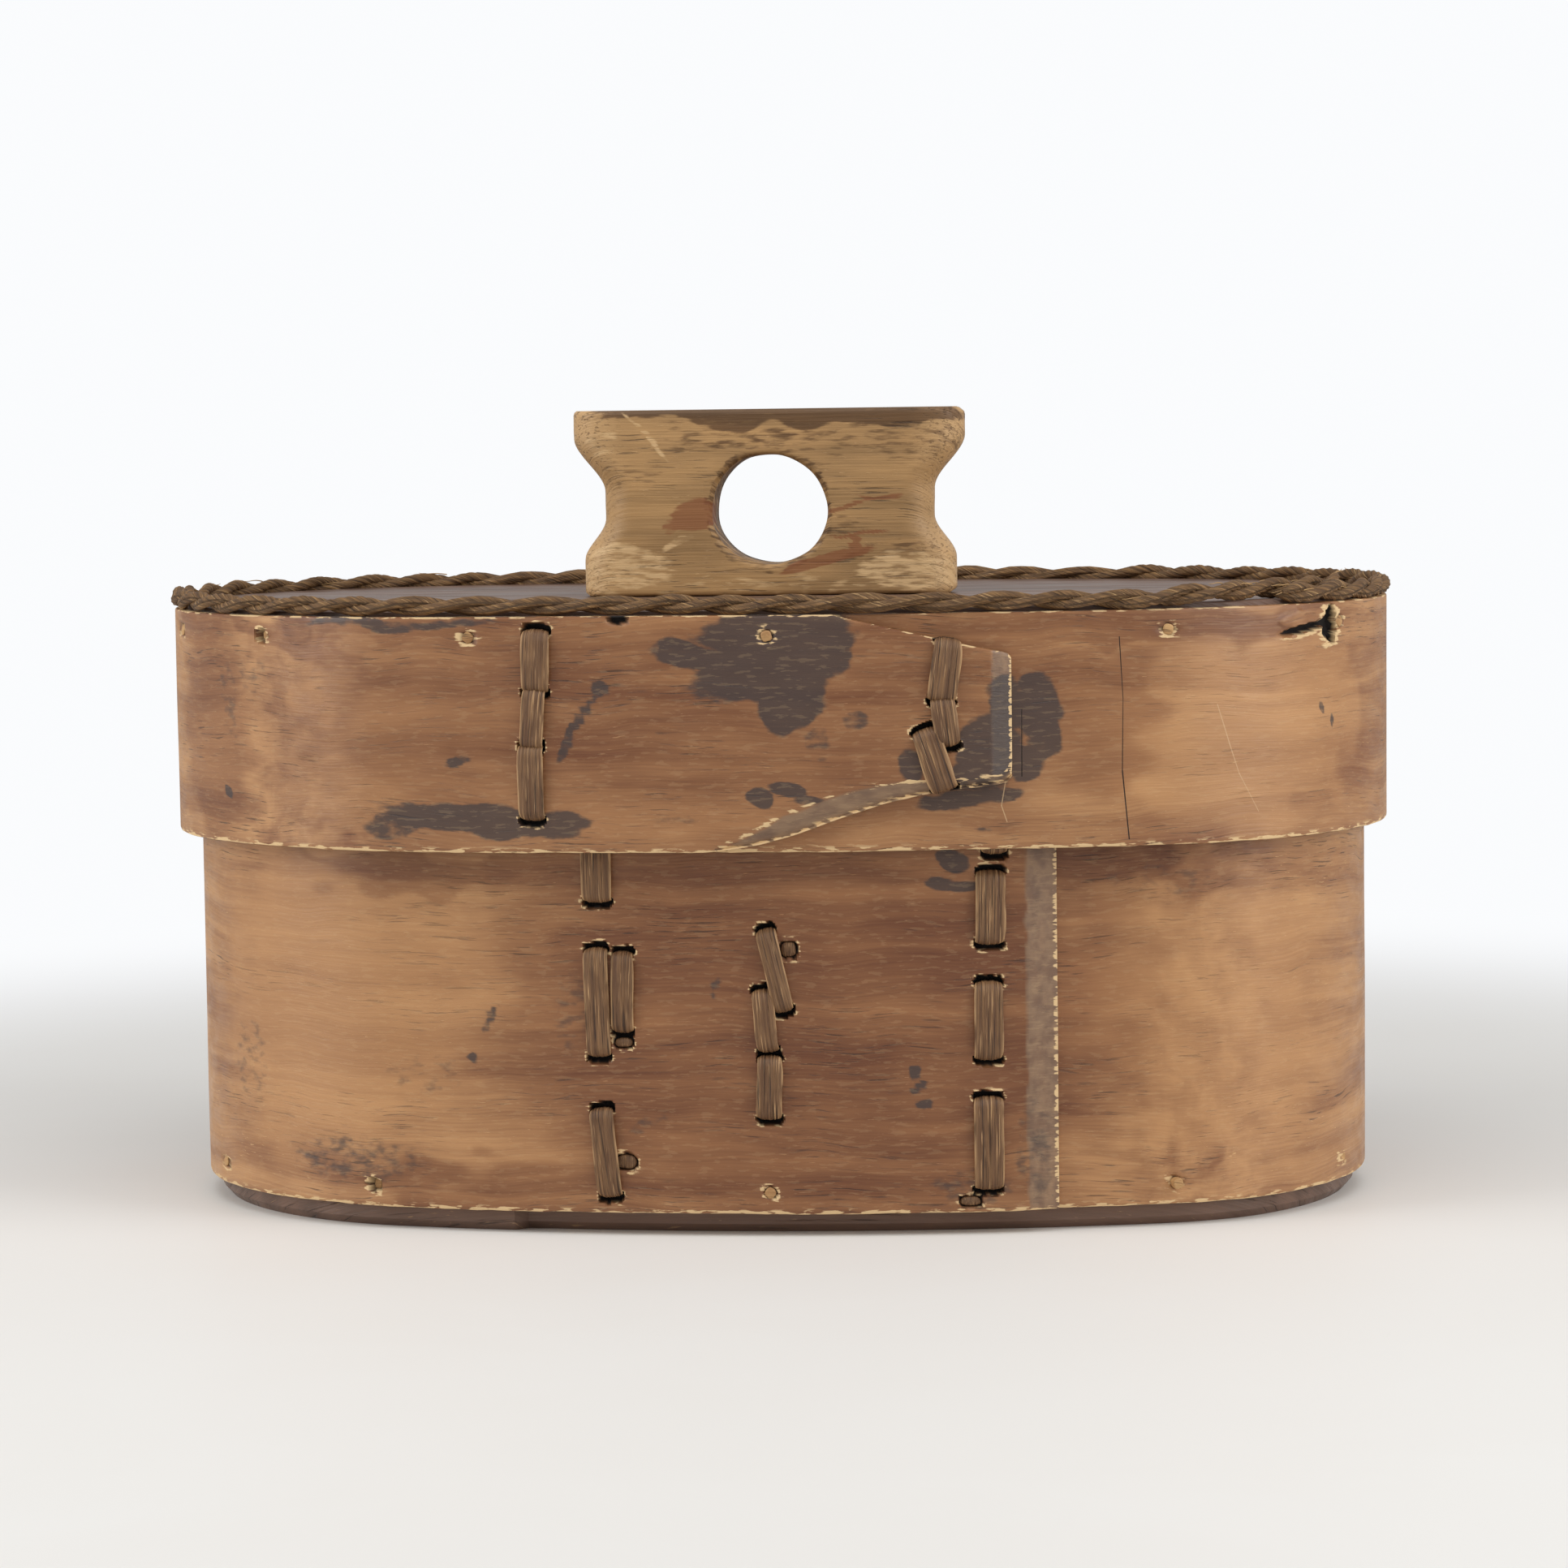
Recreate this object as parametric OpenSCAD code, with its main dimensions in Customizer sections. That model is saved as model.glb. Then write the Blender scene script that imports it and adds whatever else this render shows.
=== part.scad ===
// Oval bentwood box with a lift-off lid.
// Two bent strips of wood, each overlapped at the front and sewn with split root, are pegged
// round a base board and a lid board. A twisted root cord runs round the lid's upper edge and
// a carved handle stands on the lid. The sewn laps face -Y, the box is longest along X, and
// the origin is the middle of the base board's underside.

/* [Oval] */
// Length over the lid's strip
lid_length = 360; // [330:1:400]
// Width over the lid's strip
lid_width = 210; // [206:1:222]
// Radius of the round ends, outside the lid's strip
end_radius = 96; // [92:0.5:100]
// How far the lid's strip stands out from the box's strip
lid_overhang = 6.6; // [6.4:0.1:9]

/* [Strips] */
// Thickness of both bent strips
strip_t = 3.6; // [3:0.1:3.6]
// Gap between the two layers of a lap
layer_gap = 0.2; // [0.1:0.05:0.3]
// Lower edge of the box's strip
body_bottom = 6.5; // [4:0.5:7]
// Upper edge of the box's strip
body_top = 164.2; // [160:0.1:164.3]
// Lower edge of the lid's strip
lid_bottom = 109; // [100:1:115]
// Upper edge of the lid's strip
lid_top = 174.5; // [172:0.5:174.5]
// Right end of the box's outer layer, measured along X from the middle
body_lap_right = 85; // [80:1:90]
// Left end of the box's inner layer
body_lap_left = -66; // [-72:1:-60]
// Right end of the lid's tongue
lid_lap_right = 73.3; // [70:0.1:78]
// Left end of the lid's inner layer
lid_lap_left = -85; // [-92:1:-80]

/* [Boards] */
// Thickness of the base board
base_t = 18; // [12:1:22]
// Width of the bevel round the base board's lower edge
base_bevel = 2.4; // [1:0.1:3]
// Underside of the lid board, which rests on the box
lid_board_bottom = 164.5; // [164.3:0.1:165]
// Upper face of the lid board
lid_board_top = 176; // [175:0.1:177]
// Clearance between a board and the strip round it
board_fit = 0.12; // [0.1:0.01:0.3]

/* [Pegs] */
// Radius of a whittled wooden peg across its corners
peg_r = 1.7; // [1.2:0.1:2]
// Length of a peg
peg_length = 16; // [12:1:20]
// Height of the pegs that hold the base board
base_peg_z = 12.5; // [10:0.5:15]
// Height of the pegs that hold the lid board
lid_peg_z = 168.8; // [167:0.1:172]

/* [Root stitches] */
// How far a stitch stands out from the strip
stitch_proud = 2.1; // [1.2:0.1:2.2]
// Thickness of the root where it passes through a slot
root_t = 2; // [1.5:0.1:2.4]
// Width and thickness of the root where it runs inside the strip
run_size = [5, 1.6]; // [1:0.1:6]
// Free space round the root in its slot
slot_fit = 0.4; // [0.3:0.05:0.8]

/* [Rim cord] */
// Diameter of the twisted cord
cord_d = 5.8; // [4.5:0.1:6.5]
// Distance of the cord's middle from the strip's outer face
cord_inset = 1; // [0:0.1:1]

/* [Handle] */
// Middle of the handle along X
handle_x = -1.8; // [-5:0.1:5]
// Length of the handle's top
handle_top_length = 116.4; // [100:0.2:125]
// Length at the waist
handle_waist_length = 98; // [80:0.2:105]
// Length at the foot
handle_foot_length = 110.8; // [100:0.2:120]
// Thickness from front to back
handle_t = 23; // [18:0.5:28]
// Height above the lid board
handle_h = 55; // [50:0.5:65]
// Diameter of the finger hole
finger_hole_d = 34; // [25:0.5:34]
// Height of the finger hole's middle above the lid board
finger_hole_h = 25.4; // [24:0.1:28]
// Radius of the two dowels that hold the handle
dowel_r = 3.5; // [2.5:0.1:4]
// Distance between the dowels
dowel_spacing = 76; // [70:1:84]

/* [Hidden] */

// Oval of four tangent arcs. Angles are those of the outward normal, 0 at the front and
// growing towards +X, and an offset moves the outline outwards from the lid's outer face.
end_x = lid_length / 2 - end_radius;
side_y = (end_x * end_x - pow(lid_width / 2 - end_radius, 2)) / (lid_width - 2 * end_radius);
side_radius = lid_width / 2 + side_y;
side_angle = atan2(end_x, side_y);

// Both laps: where the layers settle back to one, and how their ends are pared
settle_angle = 45;
bevel_length = 9;
tongue_bevel = 6;
bevel_edge = 1.2;
scarf_length = 20;
scarf_edge = 0.8;
lap_t = 2 * strip_t + layer_gap;

// Radii of the front arc at the faces that the stitches lie on, and the lap ends as angles
body_front_r = side_radius - lid_overhang;
lid_front_r = side_radius + strip_t + layer_gap;
body_lap_out = asin(body_lap_right / body_front_r);
body_lap_in = asin(body_lap_left / body_front_r);
lid_lap_out = asin(lid_lap_right / lid_front_r);
lid_lap_in = asin(lid_lap_left / lid_front_r);

// Angles at which every outline has a corner, once round from the front
ROUND = concat([for (a = [-11:1:11]) a],
  [side_angle], [for (a = [18:6:162]) a], [180 - side_angle],
  [for (a = [170:2:190]) a],
  [180 + side_angle], [for (a = [198:6:342]) a], [360 - side_angle]);

// Tongue of the lid's outer layer: lower S-curve as a cubic curve, and the sloping top
TONGUE_LOW = [[-12, lid_bottom], [20, 111.5], [25, 124], [lid_lap_right - 4, 127]];
TONGUE_TOP = [[24, lid_top], [58, 166], [lid_lap_right - 2.5, 163.6]];

// Root stitches. Each root has its holes as [x, z], its outer bars as [hole, hole, width],
// its runs inside as [hole, hole], and cut ends that stay in a hole as [hole, width, height].
// The first hole of a bar or run is the upper one. The stitches above 120 are under the lid.
BODY_LEFT_UPPER = [
  [[-43.4, 156], [-43.4, 138], [-43.4, 122], [-43.4, 95], [-36.5, 79.6], [-36.6, 58.4], [-36.6, 54.8]],
  [[0, 1, 8.6], [2, 3, 8.6], [4, 5, 6.4]],
  [[1, 2], [3, 4], [5, 6]],
  [[6, 4.8, 2.2]]];
BODY_LEFT_LOWER = [
  [[-44, 80.6], [-43.4, 51.5], [-43, 35.4], [-40.8, 11.8], [-36.4, 21]],
  [[0, 1, 7], [2, 3, 7]],
  [[1, 2], [4, 3]],
  [[4, 5.4, 3.6]]];
BODY_MIDDLE = [
  [[10.2, 81], [3.8, 86], [8.9, 64.3], [2.8, 69], [4.3, 53], [4.5, 50.4], [4.4, 34]],
  [[1, 2, 5.8], [3, 4, 6.2], [5, 6, 7.2]],
  [[1, 0], [3, 2], [4, 6]],
  [[0, 4, 4]]];
BODY_RIGHT = [
  [[67.5, 156], [67.5, 138], [67.5, 124], [67.6, 107.8], [66.3, 101.6], [65.9, 82.5],
    [65.6, 70.6], [65.4, 50.1], [65.2, 38.2], [65, 13.6], [60, 9.6]],
  [[0, 1, 7.6], [2, 3, 7.6], [4, 5, 8.4], [6, 7, 8.2], [8, 9, 8.4]],
  [[1, 2], [3, 4], [5, 6], [7, 8], [9, 10]],
  [[10, 5.6, 2]]];
LID_LEFT = [
  [[-58, 170.2], [-58.6, 154.3], [-60, 138.5], [-59.9, 118.8]],
  [[0, 1, 8], [1, 2, 6.7], [2, 3, 7.4]],
  [[0, 1], [1, 2], [2, 3]],
  []];
LID_RIGHT = [
  [[55.8, 166.8], [53.9, 150.9], [55.5, 138.6], [49.4, 142], [54.5, 126.2]],
  [[0, 1, 8], [1, 2, 7], [3, 4, 8]],
  [[0, 1], [1, 2], [3, 2], [3, 4]],
  []];

// Pegs, as normal angles round the oval, and how each fits its hole and stands out of it
BASE_PEGS = [-152, -105, -60, -16.9, 0.5, 22.4, 66, 110, 152, 180];
LID_PEGS = [-166, -112, -66, -35.7, -9, 0.7, 19.5, 57, 112, 166];
peg_fit = 0.05;
peg_end = 0.2;

// The cord's rings. Its last turn moves onto the lid board, so that its two ends lie side by
// side for the angle between them at the right end.
cord_start = 42;
cord_overlap = 24;
cord_sides = 8;
cord_lift = 0.2;
CORD_RINGS = concat([cord_start], [for (a = [48:6:162]) a], [180 - side_angle],
  [for (a = [170:2:190]) a], [180 + side_angle], [for (a = [198:6:342]) a],
  [360 - side_angle], [for (a = [350:2:370]) a], [360 + side_angle],
  [for (a = [376:3:360 + cord_start]) a],
  [for (a = [366 + cord_start:6:360 + cord_start + cord_overlap]) a]);

// Levels of the handle's outline, as heights above the lid board
foot_top = 9;
waist_low = 24;
waist_high = 31;
head_low = 47;
handle_corner_r = 9.5;
finger_hole_x = -1.2;
hole_chamfer = 1.5;
dowel_low = lid_board_bottom + 0.3;
dowel_high = lid_board_top + 12.5;

function smooth(u) = u <= 0 ? 0 : u >= 1 ? 1 : u * u * (3 - 2 * u);
function arc_mm(a) = a * PI / 180 * side_radius;
function turn(a) = (a % 360 + 360) % 360;
function on_end(a, first) = turn(a) > first && turn(a) < 180 - first;
function arc_middle(a) =
  on_end(a, side_angle) ? [end_x, 0]
  : on_end(a - 180, side_angle) ? [-end_x, 0]
  : cos(a) > 0 ? [0, side_y] : [0, -side_y];
function arc_radius(a) = norm(arc_middle(a)) == end_x ? end_radius : side_radius;
function oval_point(a, off) = arc_middle(a) + (arc_radius(a) + off) * [sin(a), -cos(a)];
function bezier(p, u) = len(p) == 1 ? p[0]
  : bezier([for (i = [0:len(p) - 2]) p[i] * (1 - u) + p[i + 1] * u], u);
function at_height(ring, z) = [for (p = ring) [p[0], p[1], z]];

// Angles of a strip from its inner end, once round, to its outer end and the bevel there
function strip_angles(first, last, bevel) = concat([first],
  [for (a = ROUND) if (a > first + 0.2) a],
  [for (a = ROUND) if (a < last - bevel / arc_mm(1) - 0.2) a + 360],
  [360 + last - bevel / arc_mm(1), 360 + last]);
function end_paring(mm, length, edge) = (strip_t - edge) * max(0, 1 - mm / length);

// The box's strip runs under its own outer layer as it nears the lap from the right
function body_face(s) = -lid_overhang
  - (strip_t + layer_gap) * (1 - smooth((s - body_lap_out) / (settle_angle - body_lap_out)));
function body_outside(s) = body_face(s)
  - end_paring(arc_mm(360 + body_lap_out - s), bevel_length, bevel_edge);
function body_inside(s) = body_face(s) - strip_t
  + end_paring(arc_mm(s - body_lap_in), scarf_length, scarf_edge);
function body_hollow(a) = body_inside(a > body_lap_in - 0.3 ? a : a + 360);
function body_skin(a) = a < body_lap_out ? -lid_overhang : body_outside(a);

// The lid's strip climbs over its own inner layer as it nears the lap from the left
function lid_face(s) = (strip_t + layer_gap)
  * smooth((s - 360 + settle_angle) / (settle_angle + lid_lap_in));
function lid_outside(s) = lid_face(s)
  - end_paring(arc_mm(360 + lid_lap_out - s), tongue_bevel, bevel_edge);
function lid_inside(s) = lid_face(s) - strip_t
  + end_paring(arc_mm(s - lid_lap_in), scarf_length, scarf_edge);
function lid_skin(a) = a < lid_lap_out ? lid_face(a + 360) : 0;

// The cord lies on the strip's upper edge and follows the lap outwards. Its last turn rises
// before it crosses onto the board.
function cord_crossing(a) = smooth((a - 344 - cord_start) / 14);
function cord_rise(a) = smooth((a - 335 - cord_start) / 9);
function cord_offset(a) = -cord_inset + lid_face(a) / 2 * (1 - smooth((a - 360) / 12))
  - (cord_d + cord_lift) * cord_crossing(a);
function cord_height(a) = lid_top + cord_d / 2 * cos(180 / cord_sides) + cord_lift
  + (lid_board_top - lid_top) * cord_rise(a);

// Half length of the handle at a height above the lid board
function handle_half(h) =
  h < waist_high
    ? handle_foot_length / 2
      - (handle_foot_length - handle_waist_length) / 2 * smooth((h - foot_top) / (waist_low - foot_top))
    : handle_waist_length / 2
      + (handle_top_length - handle_waist_length) / 2
        * smooth((h - waist_high) / (head_low - waist_high));
function edge_round(h) = max(0, 1.6 - h) * 0.9 + max(0, h - handle_h + 1.6) * 0.9;

// Closed solid through rings of points, each seen turning left from the next one
module loft(rings) {
  n = len(rings[0]);
  last = (len(rings) - 1) * n;
  polyhedron(
    points = [for (ring = rings, p = ring) p],
    faces = concat(
      [[for (i = [0:n - 1]) i]],
      [for (j = [0:len(rings) - 2], i = [0:n - 1])
        [j * n + i, (j + 1) * n + i, (j + 1) * n + (i + 1) % n, j * n + (i + 1) % n]],
      [[for (i = [n - 1:-1:0]) last + i]]));
}

// Moves a shape from the origin to the front arc, with -Y outwards
module at_front(x, r) {
  translate([0, side_y, 0]) rotate([0, 0, asin(x / r)]) translate([0, -r, 0]) children();
}

// Pegs or their holes round the oval, each along the inward normal
module pegs_round(pegs, z, r, sides) {
  for (peg = pegs)
    translate([arc_middle(peg[0])[0], arc_middle(peg[0])[1], z])
      rotate([0, 0, peg[0]])
        translate([0, -arc_radius(peg[0]) - peg[1] - peg_end, 0])
          rotate([-90, 0, 0])
            cylinder(r = r, h = peg_length + (r > peg_r ? 0.5 : 0), $fn = sides);
}

module base_peg_set(r, sides) {
  pegs_round([for (a = BASE_PEGS) [a, body_skin(a)]], base_peg_z, r, sides);
}

module lid_peg_set(r, sides) {
  pegs_round([for (a = LID_PEGS) [a, lid_skin(a)]], lid_peg_z, r, sides);
}

function lean(p, q) = -asin((q[0] - p[0]) / norm(q - p));

// Side outline of one stitch of a given length: an arch with a leg through the wall at each
// end. The arch is a little higher than the stitch's rounded section, which cuts it.
function stitch_outline(length, wall) =
  let(leg = root_t / 2, rise = 2.6, top = stitch_proud + 0.1,
    deep = wall + run_size[1] / 2 + 0.3)
  concat(
    [[deep, leg]],
    [for (t = [0:22.5:90]) [-top * sin(t), leg - (rise + leg) * (1 - cos(t))]],
    [for (t = [90:-22.5:0]) [-top * sin(t), -length - leg + (rise + leg) * (1 - cos(t))]],
    [[deep, -length - leg], [deep, -length + leg], [-0.15, -length + leg], [-0.15, -leg],
      [deep, -leg]]);

// Cross-section of a stitch, flat towards the strip and rounded outwards
module stitch_section(w, wall) {
  polygon(concat(
    [for (i = [-4:4]) [i / 8 * w, -stitch_proud * (0.5 + 0.5 * cos(22.5 * i))]],
    [[w / 2, wall + 6], [-w / 2, wall + 6]]));
}

// One outer bar of a root from hole p to hole q
module stitch(p, q, w, wall) {
  length = norm(q - p);
  translate([p[0], 0, p[1]])
    rotate([0, lean(p, q), 0])
      intersection() {
        rotate([90, 0, 90])
          linear_extrude(height = w, center = true)
            polygon(stitch_outline(length, wall));
        translate([0, 0, -length - 5])
          linear_extrude(height = length + 10)
            stitch_section(w, wall);
      }
}

// One run of a root along the inside of the wall
module inner_run(p, q, wall) {
  reach = root_t / 2 + 0.5;
  length = norm(q - p);
  translate([p[0], wall + 0.15, p[1]])
    rotate([0, lean(p, q), 0])
      translate([-run_size[0] / 2, 0, -length - reach])
        cube([run_size[0], run_size[1], length + 2 * reach]);
}

// A root in the frame of the front face at x0
module root(data, x0, r) {
  shift = [x0, 0];
  holes = [for (p = data[0]) p - shift];
  at_front(x0, r)
    union() {
      for (b = data[1])
        stitch(holes[b[0]], holes[b[1]], b[2], lap_t);
      for (b = data[2])
        inner_run(holes[b[0]], holes[b[1]], lap_t);
      for (b = data[3])
        translate([holes[b[0]][0] - b[1] / 2, -0.6, holes[b[0]][1] - b[2] / 2])
          cube([b[1], lap_t + 1.7, b[2]]);
    }
}

// The slots that a root passes through
module root_slots(data, x0, r) {
  shift = [x0, 0];
  holes = [for (p = data[0]) p - shift];
  at_front(x0, r) {
    for (b = data[1], end = [0, 1])
      translate([holes[b[end]][0], lap_t / 2, holes[b[end]][1]])
        rotate([0, lean(holes[b[0]], holes[b[1]]), 0])
          cube([b[2] + 2 * slot_fit, lap_t + 6, root_t + 2 * slot_fit], center = true);
    for (b = data[3])
      translate([holes[b[0]][0], lap_t / 2, holes[b[0]][1]])
        cube([b[1] + 2 * slot_fit, lap_t + 6, b[2] + 2 * slot_fit], center = true);
  }
}

// Room in a board's edge for a root's inner runs
module root_relief(x0, r, low, high, width) {
  at_front(x0, r)
    translate([-width / 2, lap_t - 1, low])
      cube([width, run_size[1] + 2, high - low]);
}

module body_band() {
  angles = strip_angles(body_lap_in, body_lap_out, bevel_length);
  n = len(angles);
  color("#8a5a30")
    difference() {
      translate([0, 0, body_bottom])
        linear_extrude(height = body_top - body_bottom)
          polygon(concat(
            [for (s = angles) oval_point(s, body_outside(s))],
            [for (i = [n - 1:-1:0]) oval_point(angles[i], body_inside(angles[i]))]));
      root_slots(BODY_LEFT_UPPER, -40, body_front_r);
      root_slots(BODY_LEFT_LOWER, -41, body_front_r);
      root_slots(BODY_MIDDLE, 5, body_front_r);
      root_slots(BODY_RIGHT, 66, body_front_r);
      base_peg_set(peg_r + peg_fit, 24);
    }
}

module base_board() {
  // The joint of the strip's inner end is met a little to the left of it
  outline = [for (a = ROUND) if (a < 360) [a, body_hollow(a) - board_fit]];
  edge = [for (o = outline) oval_point(o[0], o[1])];
  bevelled = [for (o = outline) oval_point(o[0], o[1] - base_bevel)];
  color("#6b5443")
    difference() {
      loft([at_height(bevelled, 0), at_height(edge, body_bottom - 1.5), at_height(edge, base_t)]);
      base_peg_set(peg_r + peg_fit, 24);
      root_relief(-39.5, body_front_r, 8, base_t + 1, 15);
      root_relief(63, body_front_r, body_bottom, base_t + 1, 16);
    }
}

module base_pegs() {
  color("#c79a63")
    base_peg_set(peg_r, 8);
}

module body_root_left_upper() {
  color("#7a5636") root(BODY_LEFT_UPPER, -40, body_front_r);
}

module body_root_left_lower() {
  color("#7a5636") root(BODY_LEFT_LOWER, -41, body_front_r);
}

module body_root_middle() {
  color("#7a5636") root(BODY_MIDDLE, 5, body_front_r);
}

module body_root_right() {
  color("#7a5636") root(BODY_RIGHT, 66, body_front_r);
}

// What is cut from the lid's outer layer to leave the tongue, seen from the front
module tongue_waste() {
  low = [for (u = [0:0.1:1]) bezier(TONGUE_LOW, u)];
  corner = [for (t = [60:-30:0]) [lid_lap_right - 3 + 3 * cos(t), 130 - 3 * sin(t)]];
  polygon(concat(low, corner, [[lid_lap_right, 161]], [for (u = [1:-0.25:0]) bezier(TONGUE_TOP, u)],
    [[24, lid_top + 5], [90, lid_top + 5], [90, lid_bottom - 5], [-12, lid_bottom - 5]]));
}

module lid_band() {
  angles = strip_angles(lid_lap_in, lid_lap_out, tongue_bevel);
  n = len(angles);
  front = [for (a = [-4:1:11]) a];
  color("#85552e")
    difference() {
      translate([0, 0, lid_bottom])
        linear_extrude(height = lid_top - lid_bottom)
          polygon(concat(
            [for (s = angles) oval_point(s, lid_outside(s))],
            [for (i = [n - 1:-1:0]) oval_point(angles[i], lid_inside(angles[i]))]));
      intersection() {
        translate([0, 0, lid_bottom - 1])
          linear_extrude(height = lid_top - lid_bottom + 2)
            polygon(concat(
              [for (a = front) oval_point(a, 12)],
              [for (i = [len(front) - 1:-1:0]) oval_point(front[i], layer_gap / 2)]));
        rotate([90, 0, 0])
          linear_extrude(height = 200)
            tongue_waste();
      }
      root_slots(LID_LEFT, -59, lid_front_r);
      root_slots(LID_RIGHT, 53, lid_front_r);
      lid_peg_set(peg_r + peg_fit, 24);
    }
}

module lid_board() {
  color("#6f6259")
    difference() {
      translate([0, 0, lid_board_bottom])
        linear_extrude(height = lid_board_top - lid_board_bottom)
          polygon([for (a = ROUND) oval_point(a, -strip_t - board_fit)]);
      lid_peg_set(peg_r + peg_fit, 24);
      root_relief(-58, lid_front_r, lid_board_bottom - 1, 173, 11);
      root_relief(55.5, lid_front_r, lid_board_bottom - 1, 169.5, 11);
      handle_dowel_pair(dowel_r + peg_fit, lid_board_bottom - 1, dowel_high + 0.5);
    }
}

module lid_pegs() {
  color("#c79a63")
    lid_peg_set(peg_r, 8);
}

module lid_root_left() {
  color("#7a5636") root(LID_LEFT, -59, lid_front_r);
}

module lid_root_right() {
  color("#7a5636") root(LID_RIGHT, 53, lid_front_r);
}

module rim_cord() {
  color("#8d6a3f")
    loft([for (a = CORD_RINGS)
      [for (i = [0:cord_sides - 1])
        let(t = (i + 0.5) * 360 / cord_sides,
          p = oval_point(a, cord_offset(a) + cord_d / 2 * cos(t)))
        [p[0], p[1], cord_height(a) - cord_d / 2 * sin(t)]]]);
}

// Ring of the handle: a rectangle with round corners, left-turning from above
function handle_ring(h) =
  let(hx = handle_half(h) - edge_round(h), hy = handle_t / 2 - edge_round(h), r = handle_corner_r)
  [for (q = [0:3], t = [0:22.5:90])
    [handle_x + (q == 0 || q == 3 ? 1 : -1) * (hx - r) + r * cos(t + 90 * q),
      (q < 2 ? 1 : -1) * (hy - r) + r * sin(t + 90 * q),
      lid_board_top + h]];

module handle_dowel_pair(r, low, high) {
  for (side = [-1, 1])
    translate([handle_x + side * dowel_spacing / 2, 0, low])
      cylinder(r = r, h = high - low, $fn = 32);
}

module handle() {
  middle = lid_board_top + finger_hole_h;
  color("#b08a5c")
    difference() {
      loft([for (h = [0, 0.8, 1.6, foot_top, 12, 15, 18, 21, waist_low, waist_high, 34, 37, 40, 43,
        head_low, handle_h - 1.6, handle_h - 0.8, handle_h]) handle_ring(h)]);
      translate([finger_hole_x, handle_t, middle])
        rotate([90, 0, 0])
          cylinder(r = finger_hole_d / 2, h = 2 * handle_t, $fn = 64);
      for (side = [-1, 1])
        translate([finger_hole_x, side * handle_t / 2, middle])
          rotate([side * 90, 0, 0])
            translate([0, 0, -hole_chamfer])
              cylinder(r1 = finger_hole_d / 2 + 2 * hole_chamfer, r2 = finger_hole_d / 2,
                h = 2 * hole_chamfer, $fn = 64);
      handle_dowel_pair(dowel_r + peg_fit, lid_board_bottom - 1, dowel_high + 0.5);
    }
}

module handle_dowels() {
  color("#c79a63")
    handle_dowel_pair(dowel_r, dowel_low, dowel_high);
}

body_band();
base_board();
base_pegs();
body_root_left_upper();
body_root_left_lower();
body_root_middle();
body_root_right();
lid_band();
lid_board();
lid_pegs();
lid_root_left();
lid_root_right();
rim_cord();
handle();
handle_dowels();
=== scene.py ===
"""Oval bentwood box with a sewn lid, a twisted rim cord and a carved handle.

Lengths in the functions are millimetres, and turn into metres where a mesh is made.
"""

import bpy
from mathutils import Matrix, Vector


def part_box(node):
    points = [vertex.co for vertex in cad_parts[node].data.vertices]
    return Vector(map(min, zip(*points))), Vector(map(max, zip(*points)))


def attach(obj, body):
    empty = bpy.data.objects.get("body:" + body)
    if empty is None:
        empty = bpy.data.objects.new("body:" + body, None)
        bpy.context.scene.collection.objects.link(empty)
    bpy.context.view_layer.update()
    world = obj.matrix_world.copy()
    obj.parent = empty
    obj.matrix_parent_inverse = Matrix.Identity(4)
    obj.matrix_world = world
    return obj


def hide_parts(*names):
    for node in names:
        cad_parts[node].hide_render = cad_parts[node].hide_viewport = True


bl_info = {
    "name": "Bentwood box",
    "version": (1, 0, 0),
    "blender": (4, 5, 0),
    "location": "View3D > Sidebar > Bentwood box",
    "description": "Builds an oval bentwood box with sewn laps, a rim cord and a carved handle",
    "category": "Add Mesh",
}

import math

import bpy
import numpy as np
from bpy.props import FloatProperty, FloatVectorProperty, PointerProperty
from bpy.types import Operator, Panel, PropertyGroup
from mathutils import Matrix, Vector

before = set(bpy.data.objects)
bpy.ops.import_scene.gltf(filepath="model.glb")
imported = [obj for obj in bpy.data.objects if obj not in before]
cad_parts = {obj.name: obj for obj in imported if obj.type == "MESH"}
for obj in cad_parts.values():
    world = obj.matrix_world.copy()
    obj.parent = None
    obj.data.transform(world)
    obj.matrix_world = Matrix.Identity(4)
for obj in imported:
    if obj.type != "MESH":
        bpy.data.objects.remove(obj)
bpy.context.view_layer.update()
MM = 0.001
BODY_BOX, LID_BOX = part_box("body_band"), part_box("lid_band")
BASE_BOX, TOP_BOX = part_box("base_board"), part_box("lid_board")
HANDLE_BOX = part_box("handle")


def linear(code):
    """sRGB hex colour as linear red, green, blue and alpha: the standard's power curve."""
    parts = [int(code[i : i + 2], 16) / 255 for i in (0, 2, 4)]
    return (*(c / 12.92 if c <= 0.04045 else ((c + 0.055) / 1.055) ** 2.4 for c in parts), 1.0)


def length(name, description, default):
    return FloatProperty(name=name, description=description, default=default, unit="LENGTH")


def tint(name, description, code):
    return FloatVectorProperty(
        name=name, description=description, subtype="COLOR", size=4, min=0, max=1,
        default=linear(code))


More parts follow.
